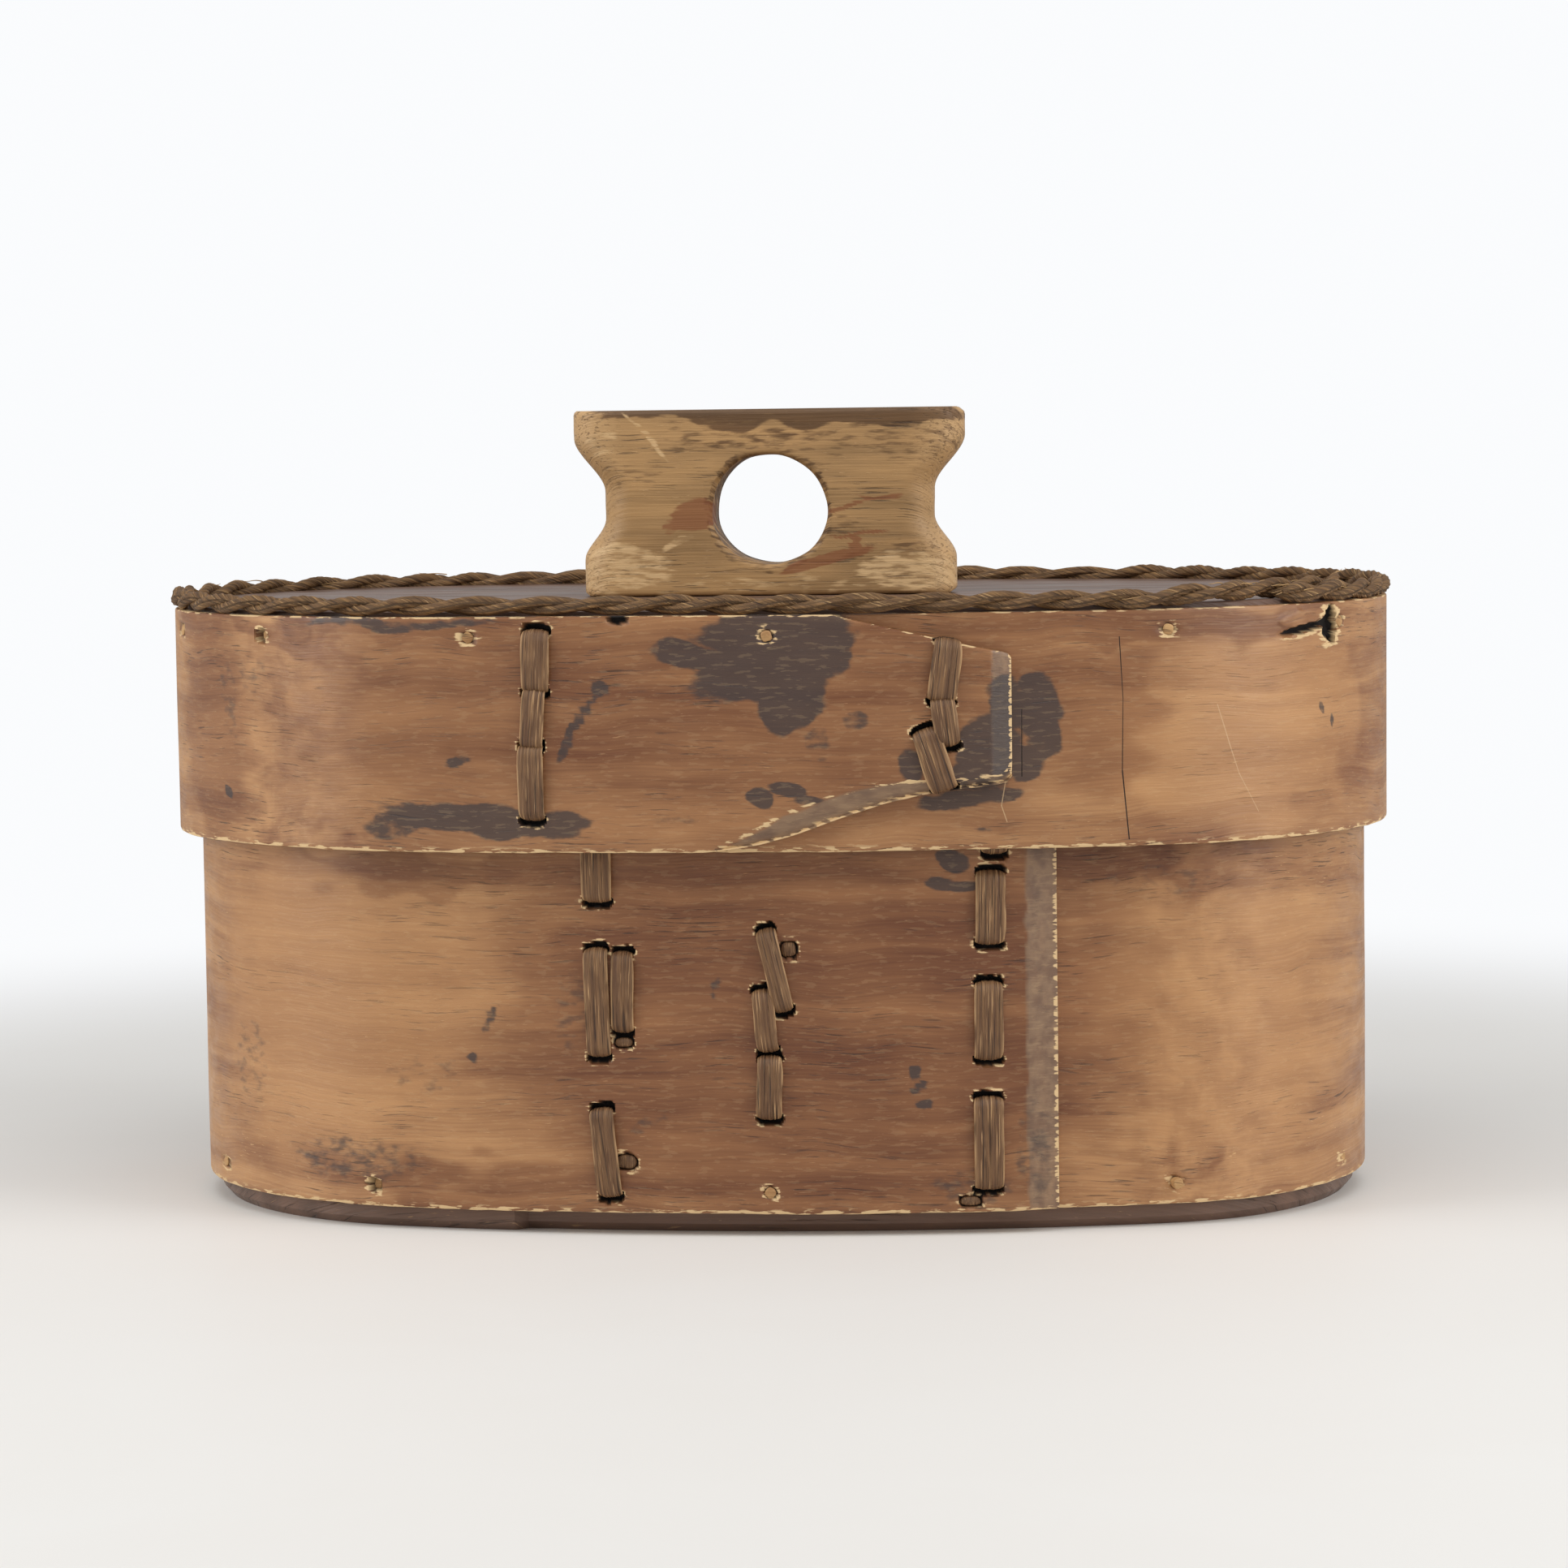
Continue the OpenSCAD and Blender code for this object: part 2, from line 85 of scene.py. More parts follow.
class BentwoodSizes(PropertyGroup):
    lid_length: length("Length", "Length over the lid's strip", 2 * LID_BOX[1].x)
    lid_width: length("Width", "Width over the lid's strip", 2 * LID_BOX[1].y)
    end_radius: length("End radius", "Radius of the round ends", 0.096)
    overhang: length("Lid overhang", "How far the lid's strip stands out", 0.0066)
    strip_t: length("Strip", "Thickness of the bent strips", 0.0036)
    layer_gap: length("Layer gap", "Gap between the layers of a lap", 0.0002)
    body_bottom: length("Box bottom", "Lower edge of the box's strip", BODY_BOX[0].z)
    body_top: length("Box top", "Upper edge of the box's strip", BODY_BOX[1].z)
    lid_bottom: length("Lid bottom", "Lower edge of the lid's strip", LID_BOX[0].z)
    lid_top: length("Lid top", "Upper edge of the lid's strip", LID_BOX[1].z)
    body_lap_left: length("Box lap, inner end", "Inner end of the box's strip along X", -0.066)
    body_lap_right: length("Box lap, outer end", "Outer end of the box's strip along X", 0.085)
    lid_lap_left: length("Lid lap, inner end", "Inner end of the lid's strip along X", -0.085)
    lid_lap_right: length("Lid tongue", "Right end of the lid's tongue along X", 0.0733)
    base_t: length("Base board", "Thickness of the base board", BASE_BOX[1].z)
    board_low: length("Lid board, underside", "Underside of the lid board", TOP_BOX[0].z)
    board_high: length("Lid board, top", "Upper face of the lid board", TOP_BOX[1].z)
    peg_r: length("Peg", "Radius of a whittled peg across its corners", 0.0017)
    stitch_proud: length("Stitch", "How far a root stitch stands out", 0.0021)
    cord_d: length("Cord", "Diameter of the rim cord", 0.0058)
    cord_lay: length("Cord lay", "Length of one full turn of the cord's two plies", 0.036)
    handle_t: length("Handle", "Thickness of the handle", 0.023)
    handle_h: length("Handle height", "Height of the handle", HANDLE_BOX[1].z - TOP_BOX[1].z)


class BentwoodColours(PropertyGroup):
    strip_light: tint("Strip, light", "Worn golden birch", "B98A5C")
    strip_dark: tint("Strip, dark", "Handled reddish-brown birch", "7B4D2F")
    strip_raw: tint("Raw edge", "Bare wood on a worn arris", "D9B98A")
    stain: tint("Stain", "Blue-black iron stain", "38302F")
    board: tint("Board", "Grey-brown pine board", "6C5345")
    handle: tint("Handle", "Pale handled alder", "B8905F")
    root: tint("Root", "Split root of the stitches", "8A6745")
    cord: tint("Cord", "Twisted root cord", "9A7448")
    floor: tint("Floor", "Pale studio table", "E9E7E3")


def smooth(u):
    """Smooth step from 0 to 1: three times the square less twice the cube."""
    u = np.clip(u, 0, 1)
    return u * u * (3 - 2 * u)


def ripple(x, y, seed):
    """Random heights from -1 to 1 on a unit lattice, joined by smooth steps."""
    table = np.random.default_rng(seed).uniform(-1, 1, (256, 256))
    x, y = np.broadcast_arrays(np.asarray(x, float), np.asarray(y, float))
    i, j = np.floor(x).astype(int), np.floor(y).astype(int)
    u, v = smooth(x - i), smooth(y - j)
    i0, i1, j0, j1 = i % 256, (i + 1) % 256, j % 256, (j + 1) % 256
    low = table[i0, j0] * (1 - u) + table[i1, j0] * u
    high = table[i0, j1] * (1 - u) + table[i1, j1] * u
    return low * (1 - v) + high * v


def spot(x, z, at, half, turn=0.0, edge=0.5):
    """1 inside an ellipse and 0 outside it: a smooth step of the elliptic distance."""
    c, s = math.cos(math.radians(turn)), math.sin(math.radians(turn))
    dx, dz = x - at[0], z - at[1]
    q = np.hypot((dx * c + dz * s) / half[0], (dz * c - dx * s) / half[1])
    return smooth((1 + edge / 2 - q) / edge)


def stations(start, stop, coarse, fine):
    """Stations whose spacing is coarse, and finer inside each (from, to, spacing): equal
    steps of the running sum of one over the spacing."""
    x = np.linspace(start, stop, 20001)
    step = np.full_like(x, coarse)
    for low, high, spacing in fine:
        near = smooth((x - low) / coarse + 1) * smooth((high - x) / coarse + 1)
        step = np.minimum(step, coarse * (1 - near) + spacing * near)
    total = np.concatenate([[0], np.cumsum(np.diff(x) / step[1:])])
    return np.interp(np.linspace(0, total[-1], math.ceil(total[-1]) + 1), total, x)


def curve_through(points, n=60):
    """Points of the Bezier curve with these control points: repeated halfway mixing."""
    u = np.linspace(0, 1, n)[:, None]
    rows = [np.broadcast_to(np.asarray(p, float), (n, 2)) for p in points]
    while len(rows) > 1:
        rows = [a * (1 - u) + b * u for a, b in zip(rows, rows[1:])]
    return rows[0]


class Oval:
    """Outline of four tangent arcs, by the angle of its outward normal from the front."""

    def __init__(self, size):
        self.end_r = size.end_radius / MM
        self.end_x = size.lid_length / MM / 2 - self.end_r
        half = size.lid_width / MM / 2
        self.side_y = (self.end_x**2 - (half - self.end_r) ** 2) / (2 * (half - self.end_r))
        self.side_r = half + self.side_y
        self.join = math.degrees(math.atan2(self.end_x, self.side_y))
        turns = [self.join, 180 - 2 * self.join, 2 * self.join, 180 - 2 * self.join, self.join]
        radii = [self.side_r, self.end_r, self.side_r, self.end_r, self.side_r]
        self.knots = np.concatenate([[0], np.cumsum(turns)])
        self.lengths = np.concatenate([[0], np.cumsum(np.radians(turns) * radii)])
        self.round = self.lengths[-1]

    def point(self, a, off):
        """Arc's middle plus its radius and the offset, along the outward normal."""
        a, off = np.broadcast_arrays(np.asarray(a, float), off)
        t = np.mod(a, 360)
        right = (t > self.join) & (t < 180 - self.join)
        left = (t > 180 + self.join) & (t < 360 - self.join)
        back = (t >= 180 - self.join) & (t <= 180 + self.join)
        ends = right | left
        x = np.where(right, self.end_x, np.where(left, -self.end_x, 0.0))
        y = np.where(ends, 0.0, np.where(back, -self.side_y, self.side_y))
        r = np.where(ends, self.end_r, self.side_r) + off
        return x + r * np.sin(np.radians(a)), y - r * np.cos(np.radians(a))

    def along(self, a):
        """Length of the outline from the front to a normal angle, whole turns included."""
        turns = np.floor(np.asarray(a, float) / 360)
        return turns * self.round + np.interp(a - 360 * turns, self.knots, self.lengths)

    def angle(self, u):
        turns = np.floor(np.asarray(u, float) / self.round)
        return 360 * turns + np.interp(u - self.round * turns, self.lengths, self.knots)

    def front(self, x, off):
        """Length along the outline of a point of the front face at x."""
        return np.radians(self.front_angle(x, off)) * self.side_r

    def front_angle(self, x, off):
        return np.degrees(np.arcsin(np.asarray(x, float) / (self.side_r + off)))


class Skin:
    """A piece's mesh in the making: grids of points with values that its finish reads."""

    def __init__(self):
        self.points, self.loops, self.counts, self.values, self.total = [], [], [], {}, 0

    def add(self, points, wrap=(False, True), caps=True, **values):
        """Joins neighbouring rows and columns of a grid by quads, and closes its first and
        last row by a face each. Faces that point inwards are turned."""
        rows, columns = points.shape[:2]
        i = np.arange(rows if wrap[0] else rows - 1)[:, None]
        j = np.arange(columns if wrap[1] else columns - 1)[None, :]
        k, m = (i + 1) % rows, (j + 1) % columns
        quads = np.stack(
            np.broadcast_arrays(i * columns + j, i * columns + m, k * columns + m,
                                k * columns + j), -1).reshape(-1, 4)
        flat = points.reshape(-1, 3)
        p = flat[quads] - flat.mean(0)
        volume = (np.cross(p[:, 0], p[:, 1]) * p[:, 2]).sum() + (
            np.cross(p[:, 0], p[:, 2]) * p[:, 3]).sum()
        ends = []
        if caps:
            ends = [np.arange(columns)[::-1], (rows - 1) * columns + np.arange(columns)]
            for e in ends:
                q = flat[e] - flat.mean(0)
                fan = np.cross(q[1:-1], q[2:]) @ q[0]
                volume += fan.sum()
        if volume < 0:
            quads, ends = quads[:, ::-1], [e[::-1] for e in ends]
        self.loops += [quads.ravel() + self.total] + [e + self.total for e in ends]
        self.counts += [np.full(len(quads), 4)] + [np.array([len(e)]) for e in ends]
        self.points.append(flat)
        for name, value in values.items():
            value = np.broadcast_to(np.asarray(value, float), (rows, columns, 3))
            self.values.setdefault(name, []).append(value.reshape(-1, 3))
        self.total += len(flat)

    def piece(self, name, material, body, slot, replaces, sharp=40):
        """Makes the object, in metres, and hands it to its body."""
        points, loops = np.concatenate(self.points) * MM, np.concatenate(self.loops)
        counts = np.concatenate(self.counts)
        mesh = bpy.data.meshes.new(name)
        mesh.vertices.add(len(points))
        mesh.vertices.foreach_set("co", points.astype(np.float32).ravel())
        mesh.loops.add(len(loops))
        mesh.loops.foreach_set("vertex_index", loops.astype(np.int32))
        mesh.polygons.add(len(counts))
        starts = np.concatenate([[0], np.cumsum(counts)[:-1]])
        mesh.polygons.foreach_set("loop_start", starts.astype(np.int32))
        mesh.update(calc_edges=True)
        mesh.validate()
        for label, value in self.values.items():
            made = mesh.attributes.new(label, "FLOAT_VECTOR", "POINT")
            made.data.foreach_set("vector", np.concatenate(value).astype(np.float32).ravel())
        mesh.set_sharp_from_angle(angle=math.radians(sharp))
        mesh.materials.append(material)
        piece = bpy.data.objects.new(name, mesh)
        bpy.context.scene.collection.objects.link(piece)
        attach(piece, body)
        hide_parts(*replaces)
        return piece


def add(tree, kind, inputs=None, out=0, stops=None, **settings):
    """Adds a node, sets it and its ramp, links or sets its inputs, and gives one output."""
    made = tree.nodes.new(kind)
    for key, value in settings.items():
        setattr(made, key, value)
    for key, value in (inputs or {}).items():
        if isinstance(value, bpy.types.NodeSocket):
            tree.links.new(value, made.inputs[key])
        else:
            made.inputs[key].default_value = value
    if stops:
        ramp = made.color_ramp
        while len(ramp.elements) < len(stops):
            ramp.elements.new(0.5)
        for element, (at, colour) in zip(ramp.elements, stops):
            element.position, element.color = at, colour
    return made.outputs[out]


def finish_named(name):
    """A new material with its tree and its shader."""
    material = bpy.data.materials.new(name)
    material.use_nodes = True
    tree = material.node_tree
    return material, tree, tree.nodes["Principled BSDF"]


def streaks(tree, place, along, across, low, high, detail=3.0, warp=0.0):
    """Noise drawn out along the fibres, in cells of these two lengths in millimetres, as a
    smooth step between two of its levels."""
    spread = add(tree, "ShaderNodeVectorMath", {0: place, 1: (1 / along, 1 / across, 1.0)},
                 operation="MULTIPLY")
    noise = add(tree, "ShaderNodeTexNoise",
                {"Vector": spread, "Scale": 1.0, "Detail": detail, "Distortion": warp})
    return add(tree, "ShaderNodeMapRange", {0: noise, 1: low, 2: high},
               interpolation_type="SMOOTHSTEP")


def times(tree, a, b):
    return add(tree, "ShaderNodeMath", {0: a, 1: b}, operation="MULTIPLY")


def mixed(tree, share, a, b, blend="MIX"):
    """Colour a turning to b by a share."""
    return add(tree, "ShaderNodeMix", {0: share, 6: a, 7: b}, out=2, data_type="RGBA",
               blend_type=blend)


def old_wood(tree, place, light, dark):
    """Colour and height of old handled wood. The fibres are about 0.5 mm across and 30 mm
    long, and dark vessel lines and pale worn flecks lie along them."""
    figure = streaks(tree, place, 150, 9, 0.32, 0.68, 4.0, 0.6)
    cloud = streaks(tree, place, 42, 20, 0.35, 0.68, 3.0)
    fibre = streaks(tree, place, 26, 0.55, 0.3, 0.7, 5.0)
    patch = streaks(tree, place, 55, 13, 0.42, 0.6, 3.0)
    vessel = times(tree, streaks(tree, place, 11, 0.5, 0.6, 0.68, 3.0), patch)
    fleck = streaks(tree, place, 3.4, 0.36, 0.685, 0.74, 2.0)
    worn = times(tree, fleck, streaks(tree, place, 30, 9, 0.4, 0.6, 2.0))
    tone = add(tree, "ShaderNodeMath", {0: figure, 1: 0.55, 2: times(tree, cloud, 0.35)},
               operation="MULTIPLY_ADD")
    tone = add(tree, "ShaderNodeMath", {0: fibre, 1: 0.22, 2: tone}, operation="MULTIPLY_ADD")
    colour = mixed(tree, tone, dark, light)
    colour = mixed(tree, times(tree, vessel, 0.62), colour, (0.02, 0.011, 0.007, 1), "MIX")
    colour = mixed(tree, times(tree, worn, 0.6), colour, linear("DDB27C"))
    height = add(tree, "ShaderNodeMath", {0: fibre, 1: 0.35, 2: times(tree, worn, 0.6)},
                 operation="MULTIPLY_ADD")
    height = add(tree, "ShaderNodeMath", {0: vessel, 1: -1.0, 2: height},
                 operation="MULTIPLY_ADD")
    return colour, height, vessel


def scored(tree, place, start, end, width):
    """1 on a thin line between two points and 0 off it: the distance from the point to its
    nearest place on the line, under a smooth step."""
    (x0, z0), (x1, z1) = start, end
    run = (x1 - x0, z1 - z0, 0.0)
    size = run[0] ** 2 + run[1] ** 2
    away = add(tree, "ShaderNodeVectorMath", {0: place, 1: (x0, z0, 0.0)}, operation="SUBTRACT")
    share = add(tree, "ShaderNodeVectorMath",
                {0: away, 1: (run[0] / size, run[1] / size, 0.0)}, out=1,
                operation="DOT_PRODUCT")
    share = add(tree, "ShaderNodeClamp", {0: share})
    near = add(tree, "ShaderNodeVectorMath", {0: run, "Scale": share}, operation="SCALE")
    gap = add(tree, "ShaderNodeVectorMath", {0: away, 1: near}, out=1, operation="DISTANCE")
    return add(tree, "ShaderNodeMapRange", {0: gap, 1: width, 2: width * 0.35},
               interpolation_type="SMOOTHSTEP")


def strip_birch(name, colours, cracks, scratches):
    """Bent birch strip, planed, stained by handling and waxed: satin, with horizontal
    fibres, blue-black iron stains and pale raw wood where the arris is worn. Golden patches
    are painted highlights where the side lamps shine. Darker patches are painted shade with
    some grime, and the holes are near black with painted shade."""
    material, tree, shader = finish_named(name)
    put = add(tree, "ShaderNodeAttribute", out=1, attribute_name="place")
    flat = add(tree, "ShaderNodeVectorMath", {0: put, 1: (1.0, 1.0, 0.0)}, operation="MULTIPLY")
    wander = add(tree, "ShaderNodeTexNoise", {"Vector": flat, "Scale": 0.02, "Detail": 2.0}, out=1)
    wander = add(tree, "ShaderNodeVectorMath", {0: wander, 1: (0.5, 0.5, 0.5)},
                 operation="SUBTRACT")
    place = add(tree, "ShaderNodeVectorMath", {0: wander, 1: (0.0, 9.0, 0.0), 2: put},
                operation="MULTIPLY_ADD")
    tone = add(tree, "ShaderNodeAttribute", out=1, attribute_name="tone")
    tone = add(tree, "ShaderNodeSeparateXYZ", {0: tone}, out=0).node.outputs
    marks = add(tree, "ShaderNodeAttribute", out=1, attribute_name="marks")
    marks = add(tree, "ShaderNodeSeparateXYZ", {0: marks}, out=0).node.outputs
    colour, height, vessel = old_wood(tree, place, colours.strip_light, colours.strip_dark)
    rough = streaks(tree, place, 9, 4, 0.3, 0.7)
    # Painted highlight: golden where tone's first value is high, where the side lamps shine
    colour = mixed(tree, times(tree, tone[0], 0.5), colour, linear("BD8C5C"))
    # Painted shade, with some grime: darker by a multiply where tone's second value is high
    colour = mixed(tree, tone[1], colour, mixed(tree, 1.0, colour, linear("A27A66"), "MULTIPLY"))
    grey = mixed(tree, rough, linear("6E5746"), linear("8C735A"))
    colour = mixed(tree, times(tree, tone[2], 0.85), colour, grey)
    blot = streaks(tree, flat, 5, 2.6, 0.25, 0.75, 3.0)
    blot = add(tree, "ShaderNodeMath", {0: blot, 1: 0.45, 2: -0.22}, operation="MULTIPLY_ADD")
    stain = add(tree, "ShaderNodeMath", {0: marks[0], 1: blot}, operation="ADD")
    stain = add(tree, "ShaderNodeMapRange", {0: stain, 1: 0.22, 2: 0.72},
                interpolation_type="SMOOTHSTEP")
    colour = mixed(tree, times(tree, stain, 0.94), colour,
                   mixed(tree, 0.1, colours.stain, colour))
    for start, end, width in scratches:
        line = scored(tree, put, start, end, width)
        colour = mixed(tree, times(tree, line, 0.65), colour, linear("C9A87F"))
    chipped = streaks(tree, flat, 5, 1.1, 0.36, 0.6, 4.0)
    raw = add(tree, "ShaderNodeMath", {0: marks[1], 1: chipped}, operation="ADD")
    raw = add(tree, "ShaderNodeMapRange", {0: raw, 1: 0.95, 2: 1.25},
              interpolation_type="SMOOTHSTEP")
    colour = mixed(tree, raw, colour, colours.strip_raw)
    # Near black by marks' third value: painted shade in the holes, the notch and under the sprung flake. The
    # cracks added next are dark splits.
    deep = marks[2]
    for start, end, width in cracks:
        line = scored(tree, put, start, end, width)
        deep = add(tree, "ShaderNodeMath", {0: deep, 1: line}, operation="MAXIMUM")
    colour = mixed(tree, deep, colour, linear("120B08"))
    lift = add(tree, "ShaderNodeMath", {0: deep, 1: -3.0, 2: height}, operation="MULTIPLY_ADD")
    bump = add(tree, "ShaderNodeBump",
               {"Height": lift, "Strength": 0.7, "Distance": 0.12 * MM})
    gloss = add(tree, "ShaderNodeMapRange", {0: rough, 3: 0.36, 4: 0.52})
    gloss = add(tree, "ShaderNodeMath", {0: deep, 1: 0.5, 2: gloss}, operation="MULTIPLY_ADD")
    gloss = add(tree, "ShaderNodeMath", {0: raw, 1: 0.3, 2: gloss}, operation="MULTIPLY_ADD")
    tree.links.new(colour, shader.inputs["Base Color"])
    tree.links.new(bump, shader.inputs["Normal"])
    tree.links.new(gloss, shader.inputs["Roughness"])
    shader.inputs["Specular IOR Level"].default_value = 0.45
    return material


def plain_wood(name, light, dark, stretch=(1, 1, 1), gloss=(0.45, 0.65), marked=False, ends=None):
    """Solid wood on its own place in space: boards, handle and pegs. The fibres lie along X."""
    material, tree, shader = finish_named(name)
    place = add(tree, "ShaderNodeTexCoord", out=3)
    place = add(tree, "ShaderNodeVectorMath",
                {0: place, 1: tuple(s / MM for s in stretch)}, operation="MULTIPLY")
    turned = add(tree, "ShaderNodeSeparateXYZ", {0: place}, out=0).node.outputs
    depth = add(tree, "ShaderNodeMath", {0: turned[1], 1: 0.6, 2: turned[2]},
                operation="MULTIPLY_ADD")
    place = add(tree, "ShaderNodeCombineXYZ",
                {0: turned[0], 1: depth, 2: times(tree, turned[1], 0.12)})
    colour, height, vessel = old_wood(tree, place, light, dark)
    deep = None
    if ends:
        # End grain: cut vessels show as dark specks about 0.4 mm wide
        near = add(tree, "ShaderNodeMath", {0: turned[0], 1: ends[0]}, operation="SUBTRACT")
        near = add(tree, "ShaderNodeMath", {0: near}, operation="ABSOLUTE")
        near = add(tree, "ShaderNodeMapRange", {0: near, 1: ends[1], 2: ends[2]},
                   interpolation_type="SMOOTHSTEP")
        speck = add(tree, "ShaderNodeTexNoise",
                    {"Vector": add(tree, "ShaderNodeVectorMath",
                                   {0: (turned[0].node.inputs[0].links[0].from_socket),
                                    1: (0.7, 1.0, 1.6)}, operation="MULTIPLY"),
                     "Scale": 1.0, "Detail": 3.0})
        speck = add(tree, "ShaderNodeMapRange", {0: speck, 1: 0.56, 2: 0.66},
                    interpolation_type="SMOOTHSTEP")
        pale = mixed(tree, 0.5, light, linear("D2AE80"))
        pale = mixed(tree, times(tree, speck, 0.6), pale, linear("4A321F"))
        colour = mixed(tree, times(tree, near, 0.8), colour, pale)
        height = add(tree, "ShaderNodeMath", {0: times(tree, speck, near), 1: -1.0, 2: height},
                     operation="MULTIPLY_ADD")
    if marked:
        marks = add(tree, "ShaderNodeAttribute", out=1, attribute_name="marks")
        marks = add(tree, "ShaderNodeSeparateXYZ", {0: marks}, out=0).node.outputs
        rag = streaks(tree, place, 6, 1.2, 0.3, 0.7, 4.0)
        rag = add(tree, "ShaderNodeMath", {0: rag, 1: 0.5, 2: -0.25}, operation="MULTIPLY_ADD")
        for k, shade in enumerate(("5B4030", "86502F", "E2BE8C")):
            share = add(tree, "ShaderNodeMath", {0: marks[k], 1: rag}, operation="ADD")
            share = add(tree, "ShaderNodeMapRange", {0: share, 1: 0.3, 2: 0.75},
                        interpolation_type="SMOOTHSTEP")
            colour = mixed(tree, times(tree, share, 0.75), colour, linear(shade),
                           "MULTIPLY" if k == 0 else "MIX")
    bump = add(tree, "ShaderNodeBump",
               {"Height": height, "Strength": 0.8, "Distance": 0.18 * MM})
    rough = add(tree, "ShaderNodeMapRange",
                {0: streaks(tree, place, 20, 2, 0.3, 0.7), 3: gloss[0], 4: gloss[1]})
    tree.links.new(colour, shader.inputs["Base Color"])
    tree.links.new(bump, shader.inputs["Normal"])
    tree.links.new(rough, shader.inputs["Roughness"])
    shader.inputs["Specular IOR Level"].default_value = 0.4
    return material


def root_fibre(name, base, dark, pale, ply=False):
    """Split root: tough fibres about 0.3 mm wide along each strand, pale on the split
    edges and dark in the grooves. The second value of its 'across' attribute paints shade:
    near black where a root goes into its hole and in the cord's crevices."""
    material, tree, shader = finish_named(name)
    fibre = add(tree, "ShaderNodeAttribute", out=1, attribute_name="fibre")
    turned = add(tree, "ShaderNodeAttribute", out=1, attribute_name="across")
    edge = add(tree, "ShaderNodeSeparateXYZ", {0: turned}, out=0).node.outputs
    broad = streaks(tree, fibre, 26, 1.3, 0.3, 0.7, 2.0)
    fine = streaks(tree, fibre, 14, 0.42, 0.36, 0.64, 3.0)
    groove = streaks(tree, fibre, 18, 0.5, 0.58, 0.68, 2.0)
    blot = streaks(tree, fibre, 7, 4, 0.4, 0.65, 2.0)
    tone = add(tree, "ShaderNodeMath", {0: fine, 1: 0.5, 2: times(tree, broad, 0.5)},
               operation="MULTIPLY_ADD")
    colour = mixed(tree, tone, dark, base)
    colour = mixed(tree, times(tree, blot, 0.35), colour, dark)
    thread = times(tree, streaks(tree, fibre, 12, 0.4, 0.6, 0.7, 2.0), 0.7)
    colour = mixed(tree, thread, colour, pale)
    colour = mixed(tree, times(tree, groove, 0.75), colour, linear("241610"))
    rim = times(tree, edge[0], streaks(tree, fibre, 9, 2, 0.3, 0.6, 2.0))
    colour = mixed(tree, rim, colour, pale)
    # Painted shade: near black by the second value of 'across', where a root goes into its hole and in the cord's
    # crevices
    colour = mixed(tree, edge[1], colour, linear("140C08"))
    height = add(tree, "ShaderNodeMath", {0: groove, 1: -1.0, 2: fine},
                 operation="MULTIPLY_ADD")
    bump = add(tree, "ShaderNodeBump",
               {"Height": height, "Strength": 0.9, "Distance": (0.25 if ply else 0.18) * MM})
    tree.links.new(colour, shader.inputs["Base Color"])
    tree.links.new(bump, shader.inputs["Normal"])
    shader.inputs["Roughness"].default_value = 0.62 if ply else 0.5
    shader.inputs["Specular IOR Level"].default_value = 0.35
    return material


# Root stitches as in the box's plan: holes as (x, z), outer bars as (hole, hole, width), runs
# inside as (hole, hole), and cut ends that stay in a hole as (hole, width, height)
ROOTS = {
    "body_root_left_upper": (
        [(-43.4, 156), (-43.4, 138), (-43.4, 122), (-43.4, 95), (-36.5, 79.6), (-36.6, 58.4),
         (-36.6, 54.8)],
        [(0, 1, 8.6), (2, 3, 8.6), (4, 5, 6.4)], [(1, 2), (3, 4), (5, 6)], [(6, 4.8, 2.4)]),
    "body_root_left_lower": (
        [(-44, 80.6), (-43.4, 51.5), (-43, 35.4), (-40.8, 11.8), (-36.4, 21)],
        [(0, 1, 7), (2, 3, 7)], [(1, 2), (4, 3)], [(4, 5.4, 3.8)]),
    "body_root_middle": (
        [(10.2, 81), (3.8, 86), (8.9, 64.3), (2.8, 69), (4.3, 53), (4.5, 50.4), (4.4, 34)],
        [(1, 2, 5.8), (3, 4, 6.2), (5, 6, 7.2)], [(1, 0), (3, 2), (4, 6)], [(0, 4, 4)]),
    "body_root_right": (
        [(67.5, 156), (67.5, 138), (67.5, 124), (67.6, 107.8), (66.3, 101.6), (65.9, 82.5),
         (65.6, 70.6), (65.4, 50.1), (65.2, 38.2), (65, 13.6), (60, 9.6)],
        [(0, 1, 7.6), (2, 3, 7.6), (4, 5, 8.4), (6, 7, 8.2), (8, 9, 8.4)],
        [(1, 2), (3, 4), (5, 6), (7, 8), (9, 10)], [(10, 5.6, 2.4)]),
    "lid_root_left": (
        [(-58, 170.2), (-58.6, 154.3), (-60, 138.5), (-59.9, 118.8)],
        [(0, 1, 8), (1, 2, 6.7), (2, 3, 7.4)], [(0, 1), (1, 2), (2, 3)], []),
    "lid_root_right": (
        [(55.8, 166.8), (53.9, 150.9), (55.5, 138.6), (49.4, 142), (54.5, 126.2)],
        [(0, 1, 8), (1, 2, 7), (3, 4, 8)], [(0, 1), (1, 2), (3, 2), (3, 4)], []),
}
BASE_PEGS = (-152, -105, -60, -16.9, 0.5, 22.4, 66, 110, 152, 180)
LID_PEGS = (-166, -112, -66, -35.7, -9, 0.7, 19.5, 57, 112, 166)
SUNK_PEGS = (-16.9, -35.7)
TONGUE_LOW = ((-12, 109), (20, 111.5), (25, 124), (69.3, 127))
TONGUE_TOP = ((24, 174.5), (58, 166), (70.8, 163.6))
SETTLE = 45


